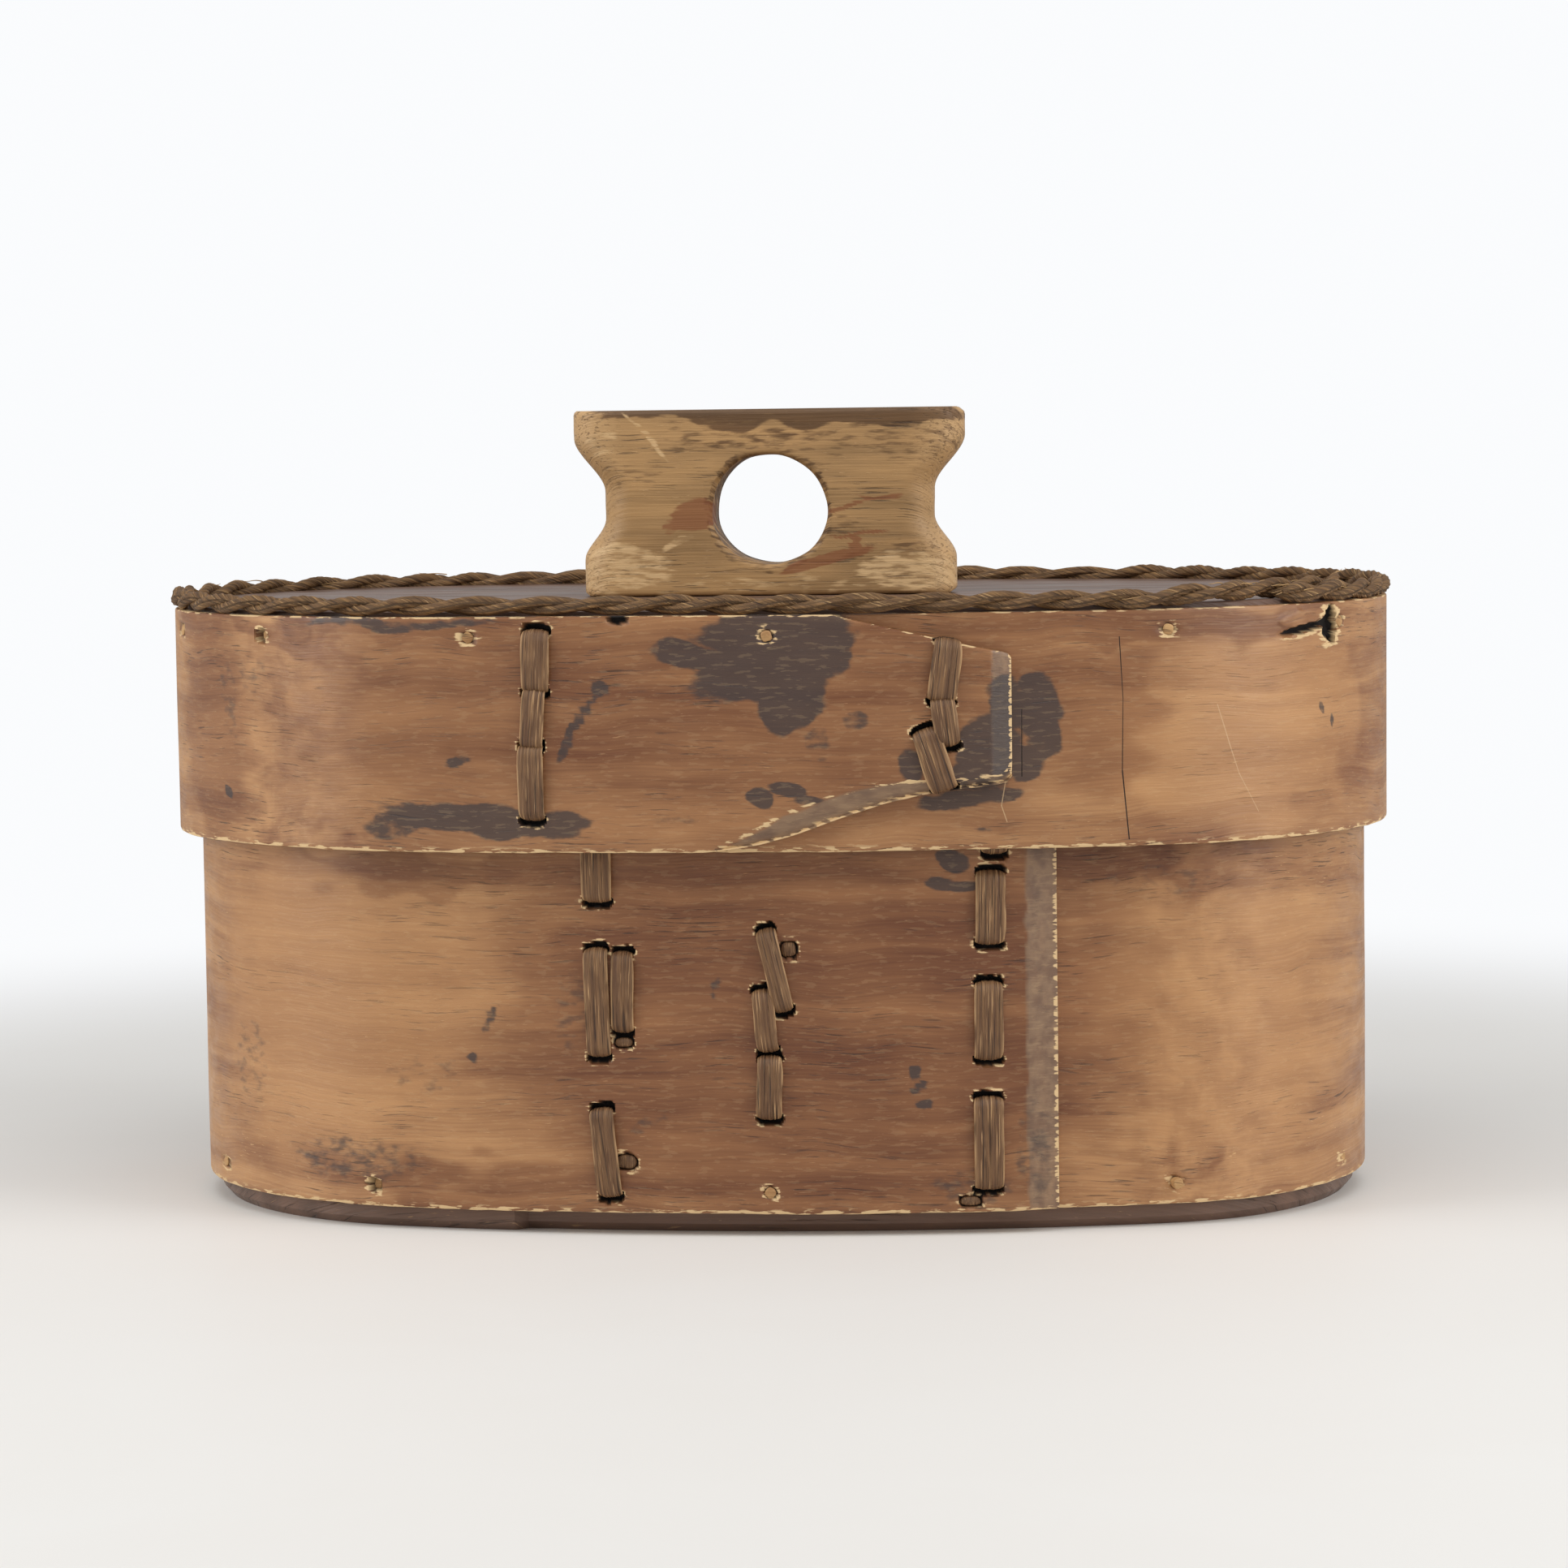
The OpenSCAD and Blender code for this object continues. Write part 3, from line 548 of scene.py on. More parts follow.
def hole_marks(x, z, roots):
    """Depth and edge of the ragged holes at the ends of the stitches: a rounded box round
    each end, shifted away from the bar, with a noisy outline."""
    depth, rim = np.zeros_like(x), np.zeros_like(x)
    for name in roots:
        holes, bars, _, stubs = ROOTS[name]
        ends = []
        for i, j, width in bars:
            p, q = np.array(holes[i]), np.array(holes[j])
            d = (p - q) / np.hypot(*(p - q))
            ends += [(p, d, width), (q, -d, width)]
        for i, width, tall in stubs:
            ends.append((np.array(holes[i]), np.array([0.0, 1.0]), (width, tall)))
        for k, (at, d, width) in enumerate(ends):
            dx, dz = x - at[0], z - at[1]
            near = (np.abs(dx) < 12) & (np.abs(dz) < 12)
            if not near.any():
                continue
            a = dx[near] * d[0] + dz[near] * d[1]
            c = dx[near] * d[1] - dz[near] * d[0]
            if isinstance(width, tuple):
                centre, reach, half, deep = 0.0, width[1] / 2 + 0.7, width[0] / 2 + 0.7, 1.3
            else:
                centre, reach, half, deep = 0.65, 1.75, width / 2 + 0.2, 2.9
            rag = ripple(x[near] / 1.3 + 7 * k, z[near] / 0.9, 11) * 0.28
            q = np.abs(c / half) ** 4 + ((a - centre) / reach) ** 2 + rag
            depth[near] = np.maximum(depth[near], deep * smooth((1.12 - q) / 0.5))
            lip = smooth((q - 0.9) / 0.4) * smooth((2.1 - q) / 0.8)
            rim[near] = np.maximum(rim[near], lip * (0.55 + 0.45 * ripple(
                x[near] / 0.9, z[near] / 0.5, 12)))
    return depth, rim


def peg_marks(u, z, pegs, height, oval):
    """Dark joint round each peg, and an open hole where the peg has sunk."""
    depth, rim = np.zeros_like(u), np.zeros_like(u)
    for a in pegs:
        at = float(oval.along(a))
        r = np.hypot(u - at, z - height) * (1 + 0.08 * ripple(u, z, 5))
        r = np.minimum(r, np.hypot(u - at - oval.round, z - height))
        sunk = a in SUNK_PEGS
        depth = np.maximum(depth, (2.6 if sunk else 0.7) * smooth((2.15 - r) / 0.5))
        rim = np.maximum(rim, smooth((3.1 - r) / 0.7) * (0.9 if sunk else 0.5))
    return depth, rim


STRIP_RING_EDGES = (
    [(0.29, 0, 1.71, 1), (1, 0, 2, 1), (1, 0.5, 2, 1), (1, 1, 2, 1), (1.71, 1, 1.71, 1)],
    [(1.71, 1, 0.29, 0), (1, 1, 0, 0), (1, 0.5, 0, 0), (1, 0, 0, 0), (0.29, 0, 0.29, 0)])


def bent_strip(oval, s, outside, inside, low, high, rows, dress):
    """Grid of a bent strip. Each column is a closed ring at normal angle s: up the outer
    face, over the rounded upper edge, down the inner face and round the lower edge. A ring
    point's depth and height are shares of the arris radius and of what is left between."""
    face, inner = rows, np.linspace(1, 0, 14)
    ring = np.array(
        [(0, 0, 1, f) for f in face] + STRIP_RING_EDGES[0] + [(2, 1, 1, f) for f in inner]
        + STRIP_RING_EDGES[1])
    a, b, c, d = (ring[None, :, k] for k in range(4))
    s, o, i, zl, zh = (np.asarray(v, float)[:, None] for v in (s, outside, inside, low, high))
    arris = np.minimum(0.55, 0.4 * (o - i))
    u = oval.along(s) + 0 * a
    wave = 0.28 * ripple(u / 30, 0.5, 3) + 0.16 * ripple(u / 5, 1.5, 4)
    z = zl + wave * (d < 0.02) + 0.5 * wave * (d > 0.98) + c * arris + d * (zh - zl - 2 * arris)
    off = o - a * arris - b * (o - i - 2 * arris)
    front = (a == 0) & (b == 0)
    off = off + np.where(b < 0.4, 0.16 * ripple(u / 45, z / 30, 6), 0.0)
    x, y = oval.point(s, off)
    uf = np.where(s > 180, u - oval.round, u)
    depth, tone, marks = dress(uf, z + 0 * u, x, s + 0 * u, front, c, d)
    off = off - np.where(front, depth, 0.0)
    x, y = oval.point(s + 0 * u, off)
    edge = np.where(front, 0.0, 1.0) * (b < 0.9)
    marks[..., 1] = np.maximum(marks[..., 1], edge * (0.35 + 0.5 * (d < 0.5)))
    low_line = smooth((1.5 - (z - zl)) / 1.2) * front
    marks[..., 1] = np.maximum(marks[..., 1], 0.48 * low_line)
    return np.stack([x, y, z], -1), np.stack([u, z + 0 * u, off], -1), tone, marks


def spots(x, z, table, seed, wander=2.5):
    """Greatest of several soft ellipses, their outlines pushed about by noise."""
    wx = x + wander * ripple(x / 9, z / 7, seed)
    wz = z + wander * ripple(x / 10, z / 6, seed + 1)
    found = np.zeros_like(x)
    for at, half, turn, strength in table:
        found = np.maximum(found, strength * spot(wx, wz, at, half, turn))
    return found


BODY_STAINS = (
    ((56.5, 105.5), (4.5, 3), 0, 0.85), ((57, 98.4), (8, 2), 4, 0.8), ((66, 99), (3, 3), 0, 0.5),
    ((48.8, 36.8), (3, 1.6), 0, 0.9), ((45.4, 46.5), (1.6, 2), 0, 0.9), ((46.5, 42.5), (3, 1.3), 25, 0.8),
    ((-81, 50), (1.6, 1.6), 0, 0.9), ((-10.9, 70.8), (1.2, 4), -20, 0.5),
    ((-75, 62), (1.3, 5), -35, 0.6), ((-95, 45), (12, 6), 0, 0.25), ((-30, 33), (7, 2.4), 30, 0.35),
    ((-52, 62), (6, 12), 0, 0.3), ((80, 24), (6, 14), 0, 0.35), ((120, 98), (20, 4), 0, 0.25),
    ((-120, 20), (24, 7), 0, 0.4), ((-165, 45), (10, 12), 0, 0.3), ((62, 15), (12, 6), 0, 0.35))
# Painted highlights: golden patches on the box's strip where the side lamps shine
BODY_PAINTED_HIGHLIGHTS = (
    ((-135, 60), (46, 42), 0, 1.0), ((-95, 76), (26, 24), 0, 0.75), ((-70, 90), (18, 12), 0, 0.5),
    ((138, 62), (40, 40), 0, 0.95), ((118, 88), (22, 16), 0, 0.8), ((165, 60), (22, 40), 0, 0.6))
LID_STAINS = (
    ((8, 168.5), (21, 8), 0, 1.0), ((5, 158.5), (19, 8), 6, 1.0), ((12, 151), (9, 8), 0, 1.0),
    ((-15, 163), (12, 3.6), -14, 0.85), ((22, 166), (7, 9), 0, 0.8), ((10, 146), (5, 4), 0, 0.8),
    ((-76, 118), (27, 4.6), -2, 0.9), ((-57, 116.5), (14, 3.4), 0, 0.8),
    ((-100, 116.5), (9, 3), 0, 0.6), ((-41, 154.5), (2.6, 3), 0, 0.8),
    ((-46, 147), (1.8, 7), -33, 0.75), ((-49.6, 139), (2, 5), -20, 0.7),
    ((-80, 133.4), (3.6, 1.7), 20, 0.75), ((79, 148), (7.5, 8.5), 0, 0.95),
    ((82, 140), (4.5, 7), 0, 0.85), ((77, 132), (6, 4.5), 0, 0.9), ((68, 124.5), (9, 2.6), 0, 0.8),
    ((56, 122), (9.5, 3), 4, 0.95), ((44.3, 133), (3.6, 5), 10, 0.75),
    ((66, 137), (9.5, 9.5), 0, 1.0), ((70, 150), (4, 7), 0, 0.8), ((61, 130), (7, 5), 0, 0.9),
    ((-98, 172.5), (28, 1.8), 0, 0.7), ((30, 146), (3, 3), 0, 0.5), ((20, 139), (4, 5), 0, 0.4),
    ((-161, 123.4), (2, 2.4), 20, 1.0), ((-161, 150), (5, 12), 10, 0.3), ((-150, 158), (7, 5), 0, 0.3),
    ((65, 114.4), (1.3, 1.3), 0, 0.8), ((171, 145), (1.2, 2), 0, 0.7), ((176, 141), (1.4, 2), 0, 0.7),
    ((-20, 118), (8, 1.6), 4, 0.3), ((4.5, 124), (4, 3), 0, 0.85), ((12.3, 126.5), (5.5, 2.2), -8, 0.85),
    ((18, 123.5), (4, 1.8), 0, 0.7))
# Painted highlights: golden patches on the lid's strip where the side lamps shine
LID_PAINTED_HIGHLIGHTS = (
    ((140, 136), (34, 26), 0, 0.9), ((172, 145), (18, 22), 0, 0.8), ((112, 150), (14, 14), 0, 0.4),
    ((-112, 140), (30, 22), 0, 0.5), ((-80, 150), (22, 14), 0, 0.3))


def dress_body(oval, lap_right):
    """What shows on the box's strip: holes, peg joints, the pared end and its stains, with
    golden painted highlights, painted shade with some grime, and near-black painted shade
    in the holes.
    """
    def dress(u, z, x, s, front, c, d):
        layer = s > 180
        x = np.where(np.abs(u) < 100, x, u)
        deep, rim = hole_marks(np.where(layer, x, 900.0), z, [n for n in ROOTS if n[0] == "b"])
        peg, peg_rim = peg_marks(u, z, BASE_PEGS, 12.5, oval)
        visible = (s > oval.front_angle(lap_right, -6.6))
        peg, peg_rim = peg * visible, peg_rim * visible
        to_end = oval.along(360 + oval.front_angle(lap_right, -6.6)) - (u + oval.round)
        bevel = layer * smooth((9.6 + 0.8 * ripple(z / 4, 0.5, 21) - to_end) / 0.9)
        # Painted shade, with some grime: darker under the lid's lower edge, along the foot and across the dimly
        # lit middle
        shade_and_grime = spots(u, z, (((20, 62), (90, 70), 0, 0.75), ((-60, 12), (60, 9), 0, 0.6),
                             ((95, 104), (60, 7), 0, 0.7), ((-80, 104), (60, 5), 0, 0.5)), 31, 8)
        # Tone: painted highlight, painted shade with some grime, and the pared end's bevel
        tone = np.stack([spots(u, z, BODY_PAINTED_HIGHLIGHTS, 33, 9), shade_and_grime * 0.8, bevel * 0.9], -1)
        stain = spots(u, z, BODY_STAINS, 35, 1.6)
        raw = np.maximum(rim, peg_rim)
        raw = np.maximum(raw, layer * 0.8 * smooth((0.9 - to_end) / 0.4))
        # Painted shade: dark in the root holes and the open peg hole. A seated peg's ring is its dark joint.
        hole = np.maximum(smooth((deep - 0.25) / 0.9), 0.8 * smooth((peg - 0.3) / 0.3))
        lift = 0.25 * rim * (deep < 0.2)
        return np.maximum(deep, peg) - lift, tone, np.stack([stain, raw, hole], -1)
    return dress


def tongue_edges(size):
    """Lower and upper edge of the tongue as points: the S-curve, then the right corners."""
    low, top = curve_through(TONGUE_LOW), curve_through(TONGUE_TOP)
    right = size.lid_lap_right / MM
    low = np.vstack([low, [(right - 1.8, 127.6), (right - 0.5, 128.9), (right, 130.2)]])
    top = np.vstack([top, [(right - 1.1, 163.1), (right, 161.4)]])
    return low, top


def dress_lid(oval, size):
    """What shows on the lid's strip: holes, peg joints, the tongue's bevels, the crack, the
    broken place at the right end and the stains, with golden painted highlights, painted
    shade with some grime, and near-black painted shade in the holes and under the sprung flake."""
    low, _ = tongue_edges(size)
    slope = np.gradient(low[:, 1], low[:, 0])

    def dress(u, z, x, s, front, c, d):
        layer = s > 180
        x = np.where(np.abs(u) < 100, x, u)
        deep, rim = hole_marks(np.where(layer, x, 900.0), z, [n for n in ROOTS if n[0] == "l"])
        peg, peg_rim = peg_marks(u, z, LID_PEGS, 168.8, oval)
        cut = np.interp(x, low[:, 0], low[:, 1])
        lean = np.interp(x, low[:, 0], slope)
        to_cut = np.where(layer & (x > -12), (z - cut) / np.hypot(1, np.clip(lean, -1, 1)), 99)
        wide = np.clip((x + 12) / 22, 0.1, 1) * 6.2 - np.clip((x - 30) / 30, 0, 1) * 3.6
        shaved = layer * smooth((wide + 0.5 * ripple(x / 5, z / 4, 41) - to_cut) / 0.8)
        shave = layer * 1.5 * np.clip(1 - to_cut / np.maximum(wide, 0.5), 0, 1)
        end = oval.front(size.lid_lap_right / MM, 3.8)
        to_end = np.where(layer, end - u, 99)
        bevel = smooth((5.8 + 0.5 * ripple(z / 3, 0.5, 42) - to_end) / 0.7)
        # Broken place: a ragged hole, and a flake beside it that has sprung
        broken = spot(u + 1.6 * ripple(u / 2, z / 1.6, 43), z + 1.4 * ripple(u / 2, z / 1.5, 44),
                      (175.0, 168.4), (3.4, 4.6), 0, 0.5) * ~layer
        under = spot(u, z, (164.5, 167.6 + 0 * 1), (9.5, 1.0), 8, 0.8) * ~layer
        deep = np.maximum(deep, np.maximum(3.0 * broken, 2.4 * under))
        raised = spot(u, z, (162.5, 170.6), (9.5, 2.3), 6, 0.3) * ~layer
        rim = np.maximum(rim, 0.9 * spot(u, z, (175, 168.2), (5.6, 6.4), 0, 0.5) * ~layer)
        rim = np.maximum(rim, 0.8 * spot(u, z, (164, 166.3), (9.5, 0.9), 8, 0.6) * ~layer)
        notch = spot(u, z, (-35, 174.5), (3.0, 2.2), 0, 0.5) * layer
        deep = np.maximum(deep, 2.0 * notch)
        # Painted shade, with some grime: darker across the dimly lit middle, below the cord and at the far left
        # end
        shade_and_grime = spots(u, z, (((-20, 145), (120, 40), 0, 0.55), ((100, 172), (90, 5), 0, 0.6),
                             ((95, 145), (18, 22), 0, 0.6), ((-120, 172), (80, 6), 0, 0.7),
                             ((-170, 140), (22, 30), 0, 0.6)), 45, 7)
        # Tone: painted highlight, painted shade with some grime, and the tongue's shaved and bevelled wood
        tone = np.stack([spots(u, z, LID_PAINTED_HIGHLIGHTS, 47, 8), shade_and_grime * 0.8,
                         np.maximum(shaved, bevel * 0.9)], -1)
        stain = spots(u, z, LID_STAINS, 49, 1.7) * np.where(shaved > 0.5, 0.6, 1.0)
        raw = np.maximum(np.maximum(rim, peg_rim), 0.85 * layer * smooth((0.8 - to_end) / 0.4))
        raw = np.maximum(raw, 0.5 * layer * smooth((0.7 - np.abs(to_cut - wide)) / 0.5))
        # Painted shade: dark in the root holes, the open peg hole, the broken place, the notch and under the
        # sprung flake. A seated peg's ring is its dark joint.
        hole = np.maximum(smooth((deep - 0.25) / 0.9), 0.7 * smooth((peg - 0.3) / 0.3))
        lift = 0.25 * rim * (deep < 0.2) + 0.7 * raised
        return np.maximum(deep, peg) + shave - lift, tone, np.stack([stain, raw, hole], -1)
    return dress


def make_body_band(size, material):
    """The box's strip: under its own outer layer at the lap, with pared ends."""
    oval = Oval(size)
    t, gap, over = size.strip_t / MM, size.layer_gap / MM, size.overhang / MM
    out_a = float(oval.front_angle(size.body_lap_right / MM, -over))
    in_a = float(oval.front_angle(size.body_lap_left / MM, -over))
    turn = oval.round
    u = stations(float(oval.along(in_a)), float(oval.along(360 + out_a)), 5.0, [
        (turn - 54, turn - 27, 0.55), (turn - 4, turn + 17, 0.55), (turn + 54, turn + 76, 0.55),
        (turn + 76, turn + 90, 0.7), (turn - 170, turn + 90, 1.6), (86, 170, 1.8),
        (84, 92, 0.8)])
    s = oval.angle(u)
    face = -over - (t + gap) * (1 - smooth((s - out_a) / (SETTLE - out_a)))
    to_end = oval.along(360 + out_a) - u
    outside = face - (t - 1.2) * np.clip(1 - to_end / 9, 0, 1)
    inside = face - t + (t - 0.8) * np.clip(1 - (u - u[0]) / 20, 0, 1)
    low, high = size.body_bottom / MM, size.body_top / MM
    rows = (stations(low, high, 3.2, [(low, 112, 0.72)]) - low) / (high - low)
    grid = bent_strip(oval, s, outside, inside, np.full_like(s, low), np.full_like(s, high),
                      rows, dress_body(oval, size.body_lap_right / MM))
    skin = Skin()
    skin.add(grid[0], place=grid[1], tone=grid[2], marks=grid[3])
    return skin.piece("body_strip", material, "box", "strip_wood", ["body_band"])


def make_lid_band(size, material):
    """The lid's strip: over its own inner layer at the lap, its outer layer cut to a tongue."""
    oval = Oval(size)
    t, gap = size.strip_t / MM, size.layer_gap / MM
    out_a = float(oval.front_angle(size.lid_lap_right / MM, t + gap))
    in_a = float(oval.front_angle(size.lid_lap_left / MM, t + gap))
    turn = oval.round
    u = stations(float(oval.along(in_a)), float(oval.along(360 + out_a)), 5.0, [
        (turn - 70, turn - 50, 0.55), (turn + 40, turn + 80, 0.5), (turn - 14, turn + 40, 0.8),
        (turn - 180, turn + 80, 1.7), (74, 200, 1.8), (148, 184, 0.6), (100, 108, 0.9)])
    s = oval.angle(u)
    face = (t + gap) * smooth((s - 360 + SETTLE) / (SETTLE + in_a))
    to_end = oval.along(360 + out_a) - u
    outside = face - (t - 1.2) * np.clip(1 - to_end / 6, 0, 1)
    inside = face - t + (t - 0.8) * np.clip(1 - (u - u[0]) / 20, 0, 1)
    x, _ = oval.point(s, outside)
    edge_low, edge_top = tongue_edges(size)
    bottom, top = size.lid_bottom / MM, size.lid_top / MM
    over = (s > 340) & (x > TONGUE_LOW[0][0])
    low = np.where(over, np.interp(x, edge_low[:, 0], edge_low[:, 1]), bottom)
    over = (s > 340) & (x > TONGUE_TOP[0][0])
    high = np.where(over, np.interp(x, edge_top[:, 0], edge_top[:, 1]), top)
    rows = (stations(bottom, top, 0.8, [(bottom + 4, top - 2, 0.62)]) - bottom) / (top - bottom)
    grid = bent_strip(oval, s, outside, inside, low, high, rows, dress_lid(oval, size))
    skin = Skin()
    skin.add(grid[0], place=grid[1], tone=grid[2], marks=grid[3])
    return skin.piece("lid_strip", material, "lid", "strip_wood", ["lid_band"])


def oval_board(oval, off, low, high, bevel, seed):
    """Grid of a board from the middle line of its underside out, up its edge and back over
    its upper face: shares of the way from the middle line to the outline."""
    a = np.concatenate([np.linspace(-oval.join, oval.join, 60)[:-1],
                        np.linspace(oval.join, 180 - oval.join, 70)[:-1]])
    a = np.concatenate([a, a + 180])
    x1, y1 = oval.point(a, off)
    x0 = np.clip(x1, -oval.end_x, oval.end_x)
    share = stations(0, 1, 0.04, [(0.94, 1, 0.01)])
    under, over = share[:-1], share[::-1][1:]
    w = np.concatenate([under, [1.0] * 6, over])[:, None]
    side = np.concatenate([np.full(len(under), 0.0), [0, 0.4, 1, 1.6, 2, 2], np.full(len(over), 3.0)])
    h = high - low
    z = np.select([side == 0, side == 0.4, side == 1, side == 1.6, side == 2],
                  [0, bevel, h * 0.5, h - 0.5, h], h)[:, None] + 0 * x1
    pull = np.where((side == 0) & (w[:, 0] > 0.5), bevel, 0.0)[:, None] * (w > 0.9)
    pull = pull + 0.5 * ((side == 2)[:, None])
    reach = np.hypot(x1 - x0, y1)
    k = w * (1 - pull / reach)
    x, y = x0 + (x1 - x0) * k, y1 * k
    worn = 0.14 * ripple(x / 40, y / 7, seed) + 0.05 * ripple(x / 25, y / 1.6, seed + 1)
    top = (side == 3)[:, None] * (np.abs(w) < 0.97)
    z = z + low + top * (worn - 0.16)
    return np.stack([x, y, z + 0 * x], -1)


def merge_middle(piece):
    """Closes a board along its middle line, where the grid's first and last rows fold."""
    import bmesh
    mesh = bmesh.new()
    mesh.from_mesh(piece.data)
    bmesh.ops.remove_doubles(mesh, verts=mesh.verts, dist=0.00001)
    bmesh.ops.dissolve_degenerate(mesh, edges=mesh.edges, dist=0.000001)
    mesh.to_mesh(piece.data)
    mesh.free()


def root_bar(skin, oval, x0, r_off, p, q, width, seed, proud, inner=False):
    """One bar of a root from hole p to hole q: a domed ribbon carried along an arch that
    comes out of one hole and goes into the other. Inside the box the arch is lower."""
    p, q = np.array(p, float), np.array(q, float)
    span = np.hypot(*(q - p))
    d = (q - p) / span
    thick = 1.5 if inner else 1.9
    top = proud - thick / 2
    bend = np.linspace(0, 90, 9)
    rise = np.stack([2.6 * (1 - np.cos(np.radians(bend))), top - (top + 1.1) * (1 - np.sin(np.radians(bend)))], 1)
    middle = np.linspace(2.6, span - 2.6, 14)[1:-1]
    crown = top - 0.25 + 0.25 * np.sin(np.pi * middle / span)
    rise[:, 1] -= 0.25 * (rise[:, 0] / 2.6) * (1 - math.sin(math.pi * 2.6 / span))
    path = np.vstack([[(-0.1, -2.9)], rise, np.stack([middle, crown], 1),
                      rise[::-1] * (-1, 1) + (span, 0), [(span + 0.1, -2.9)]])
    grade = np.gradient(path, axis=0)
    grade /= np.hypot(grade[:, 0], grade[:, 1])[:, None]
    side = np.stack([-grade[:, 1], grade[:, 0]], 1)
    t = np.linspace(-1, 1, 25)
    rng = np.random.default_rng(seed)
    ribs = sum(rng.uniform(0.02, 0.055) * np.cos(f * math.pi * t + rng.uniform(0, 6))
               for f in (3, 5, 7, 9))
    dome = thick * (0.5 - 0.36 * np.abs(t) ** 3.2) + ribs * (1 - t**6)
    across = np.concatenate([t, t[::-1][1:-1] * 0.96])
    depth = np.concatenate([dome, np.full(len(t) - 2, -thick * 0.45)])
    share = np.linspace(0, 1, len(path))[:, None]
    pinch = 1 - 0.13 * (1 - np.sin(np.pi * share)) ** 2
    half = width / 2 * pinch * (1 + 0.03 * ripple(share * 5, seed, 61))
    sway = 0.25 * ripple(share * 3, seed + 9, 62)
    w = across[None, :] * half + sway
    wear = 1 + 0.05 * ripple(share * 12, across[None, :] * 3 + seed, 63)
    along = path[:, None, 0] + side[:, None, 0] * depth[None, :] * wear
    out = path[:, None, 1] + side[:, None, 1] * depth[None, :] * wear
    lx = p[0] + d[0] * along + d[1] * w
    z = p[1] + d[1] * along - d[0] * w
    r = oval.side_r + r_off
    a0 = math.asin(x0 / r)
    # Flat frame that touches the front at x0, as the root was drawn through flat wood
    fx, fy = lx - x0, -(r + out) if not inner else -(r - out)
    x = fx * math.cos(a0) - fy * math.sin(a0)
    y = oval.side_y + fx * math.sin(a0) + fy * math.cos(a0)
    steps = np.concatenate([[0], np.cumsum(np.hypot(*np.diff(path, axis=0).T))])[:, None]
    fibre = np.stack(np.broadcast_arrays(
        steps + 37.0 * seed, w + 11.0 * seed, np.full_like(w, seed * 3.7)), -1)
    rim = smooth((np.abs(across[None, :]) - 0.8) / 0.2) + 0 * w
    # Painted shade: the root darkens as it goes down into its hole
    dark = smooth((-0.2 - path[:, 1]) / 1.4)[:, None] + 0 * w
    bent = smooth((0.75 - np.abs(path[:, 1])) / 0.8)[:, None] * 0.0
    skin.add(np.stack([x, y, z], -1), fibre=fibre,
             across=np.stack([rim * (1 - dark) * 0.8, dark + bent, 0 * w], -1))


def make_root(size, name, material):
    """One root: its bars outside, its runs inside and its cut ends."""
    oval = Oval(size)
    holes, bars, runs, stubs = ROOTS[name]
    body = "box" if name.startswith("body") else "lid"
    frames = {"body_root_left_upper": -40, "body_root_left_lower": -41, "body_root_middle": 5,
              "body_root_right": 66, "lid_root_left": -59, "lid_root_right": 53}
    off = -size.overhang / MM if body == "box" else (size.strip_t + size.layer_gap) / MM
    wall = (2 * size.strip_t + size.layer_gap) / MM
    skin = Skin()
    seed = 100 + 10 * list(ROOTS).index(name)
    for k, (i, j, width) in enumerate(bars):
        root_bar(skin, oval, frames[name], off, holes[i], holes[j], width, seed + k,
                 size.stitch_proud / MM)
    for k, (i, j) in enumerate(runs):
        root_bar(skin, oval, frames[name], off - wall, holes[i], holes[j], 4.8,
                 seed + 50 + k, 1.6, inner=True)
    for k, (i, width, tall) in enumerate(stubs):
        root_stub(skin, oval, frames[name], off, holes[i], width, tall, seed + 80 + k)
    return skin.piece(name + "_fibre", material, body, "split_root", [name], 60)


def root_stub(skin, oval, x0, off, at, width, tall, seed):
    """Cut end of a root in its hole: a rounded plug, its face a little below the wood's."""
    t = np.linspace(0, 2 * np.pi, 21)[:-1][None, :]
    rows = np.array([(-4.5, 0.9), (-0.9, 1.0), (-0.45, 0.95), (-0.15, 0.78), (0.0, 0.4)])
    out, grow = rows[:, :1], rows[:, 1:]
    rag = 1 + 0.07 * ripple(np.cos(t) * 2 + seed, np.sin(t) * 2, 71)
    lx = at[0] + grow * rag * (width / 2 + 0.1) * np.sign(np.cos(t)) * np.abs(np.cos(t)) ** 0.75
    z = at[1] + grow * rag * (tall / 2 + 0.1) * np.sign(np.sin(t)) * np.abs(np.sin(t)) ** 0.75
    r = oval.side_r + off
    a0 = math.asin(x0 / r)
    fx, fy = lx - x0, -(r + out) + 0 * lx
    x = fx * math.cos(a0) - fy * math.sin(a0)
    y = oval.side_y + fx * math.sin(a0) + fy * math.cos(a0)
    fibre = np.stack([(z - at[1]) * 4, lx * 2.0, 0 * z + seed], -1)
    # Painted shade: the cut end darkens deeper in its hole
    dark = smooth((-0.5 - out) / 1.0) + 0 * lx
    skin.add(np.stack([x, y, z], -1), fibre=fibre, across=np.stack([0 * z, dark, 0 * z], -1))


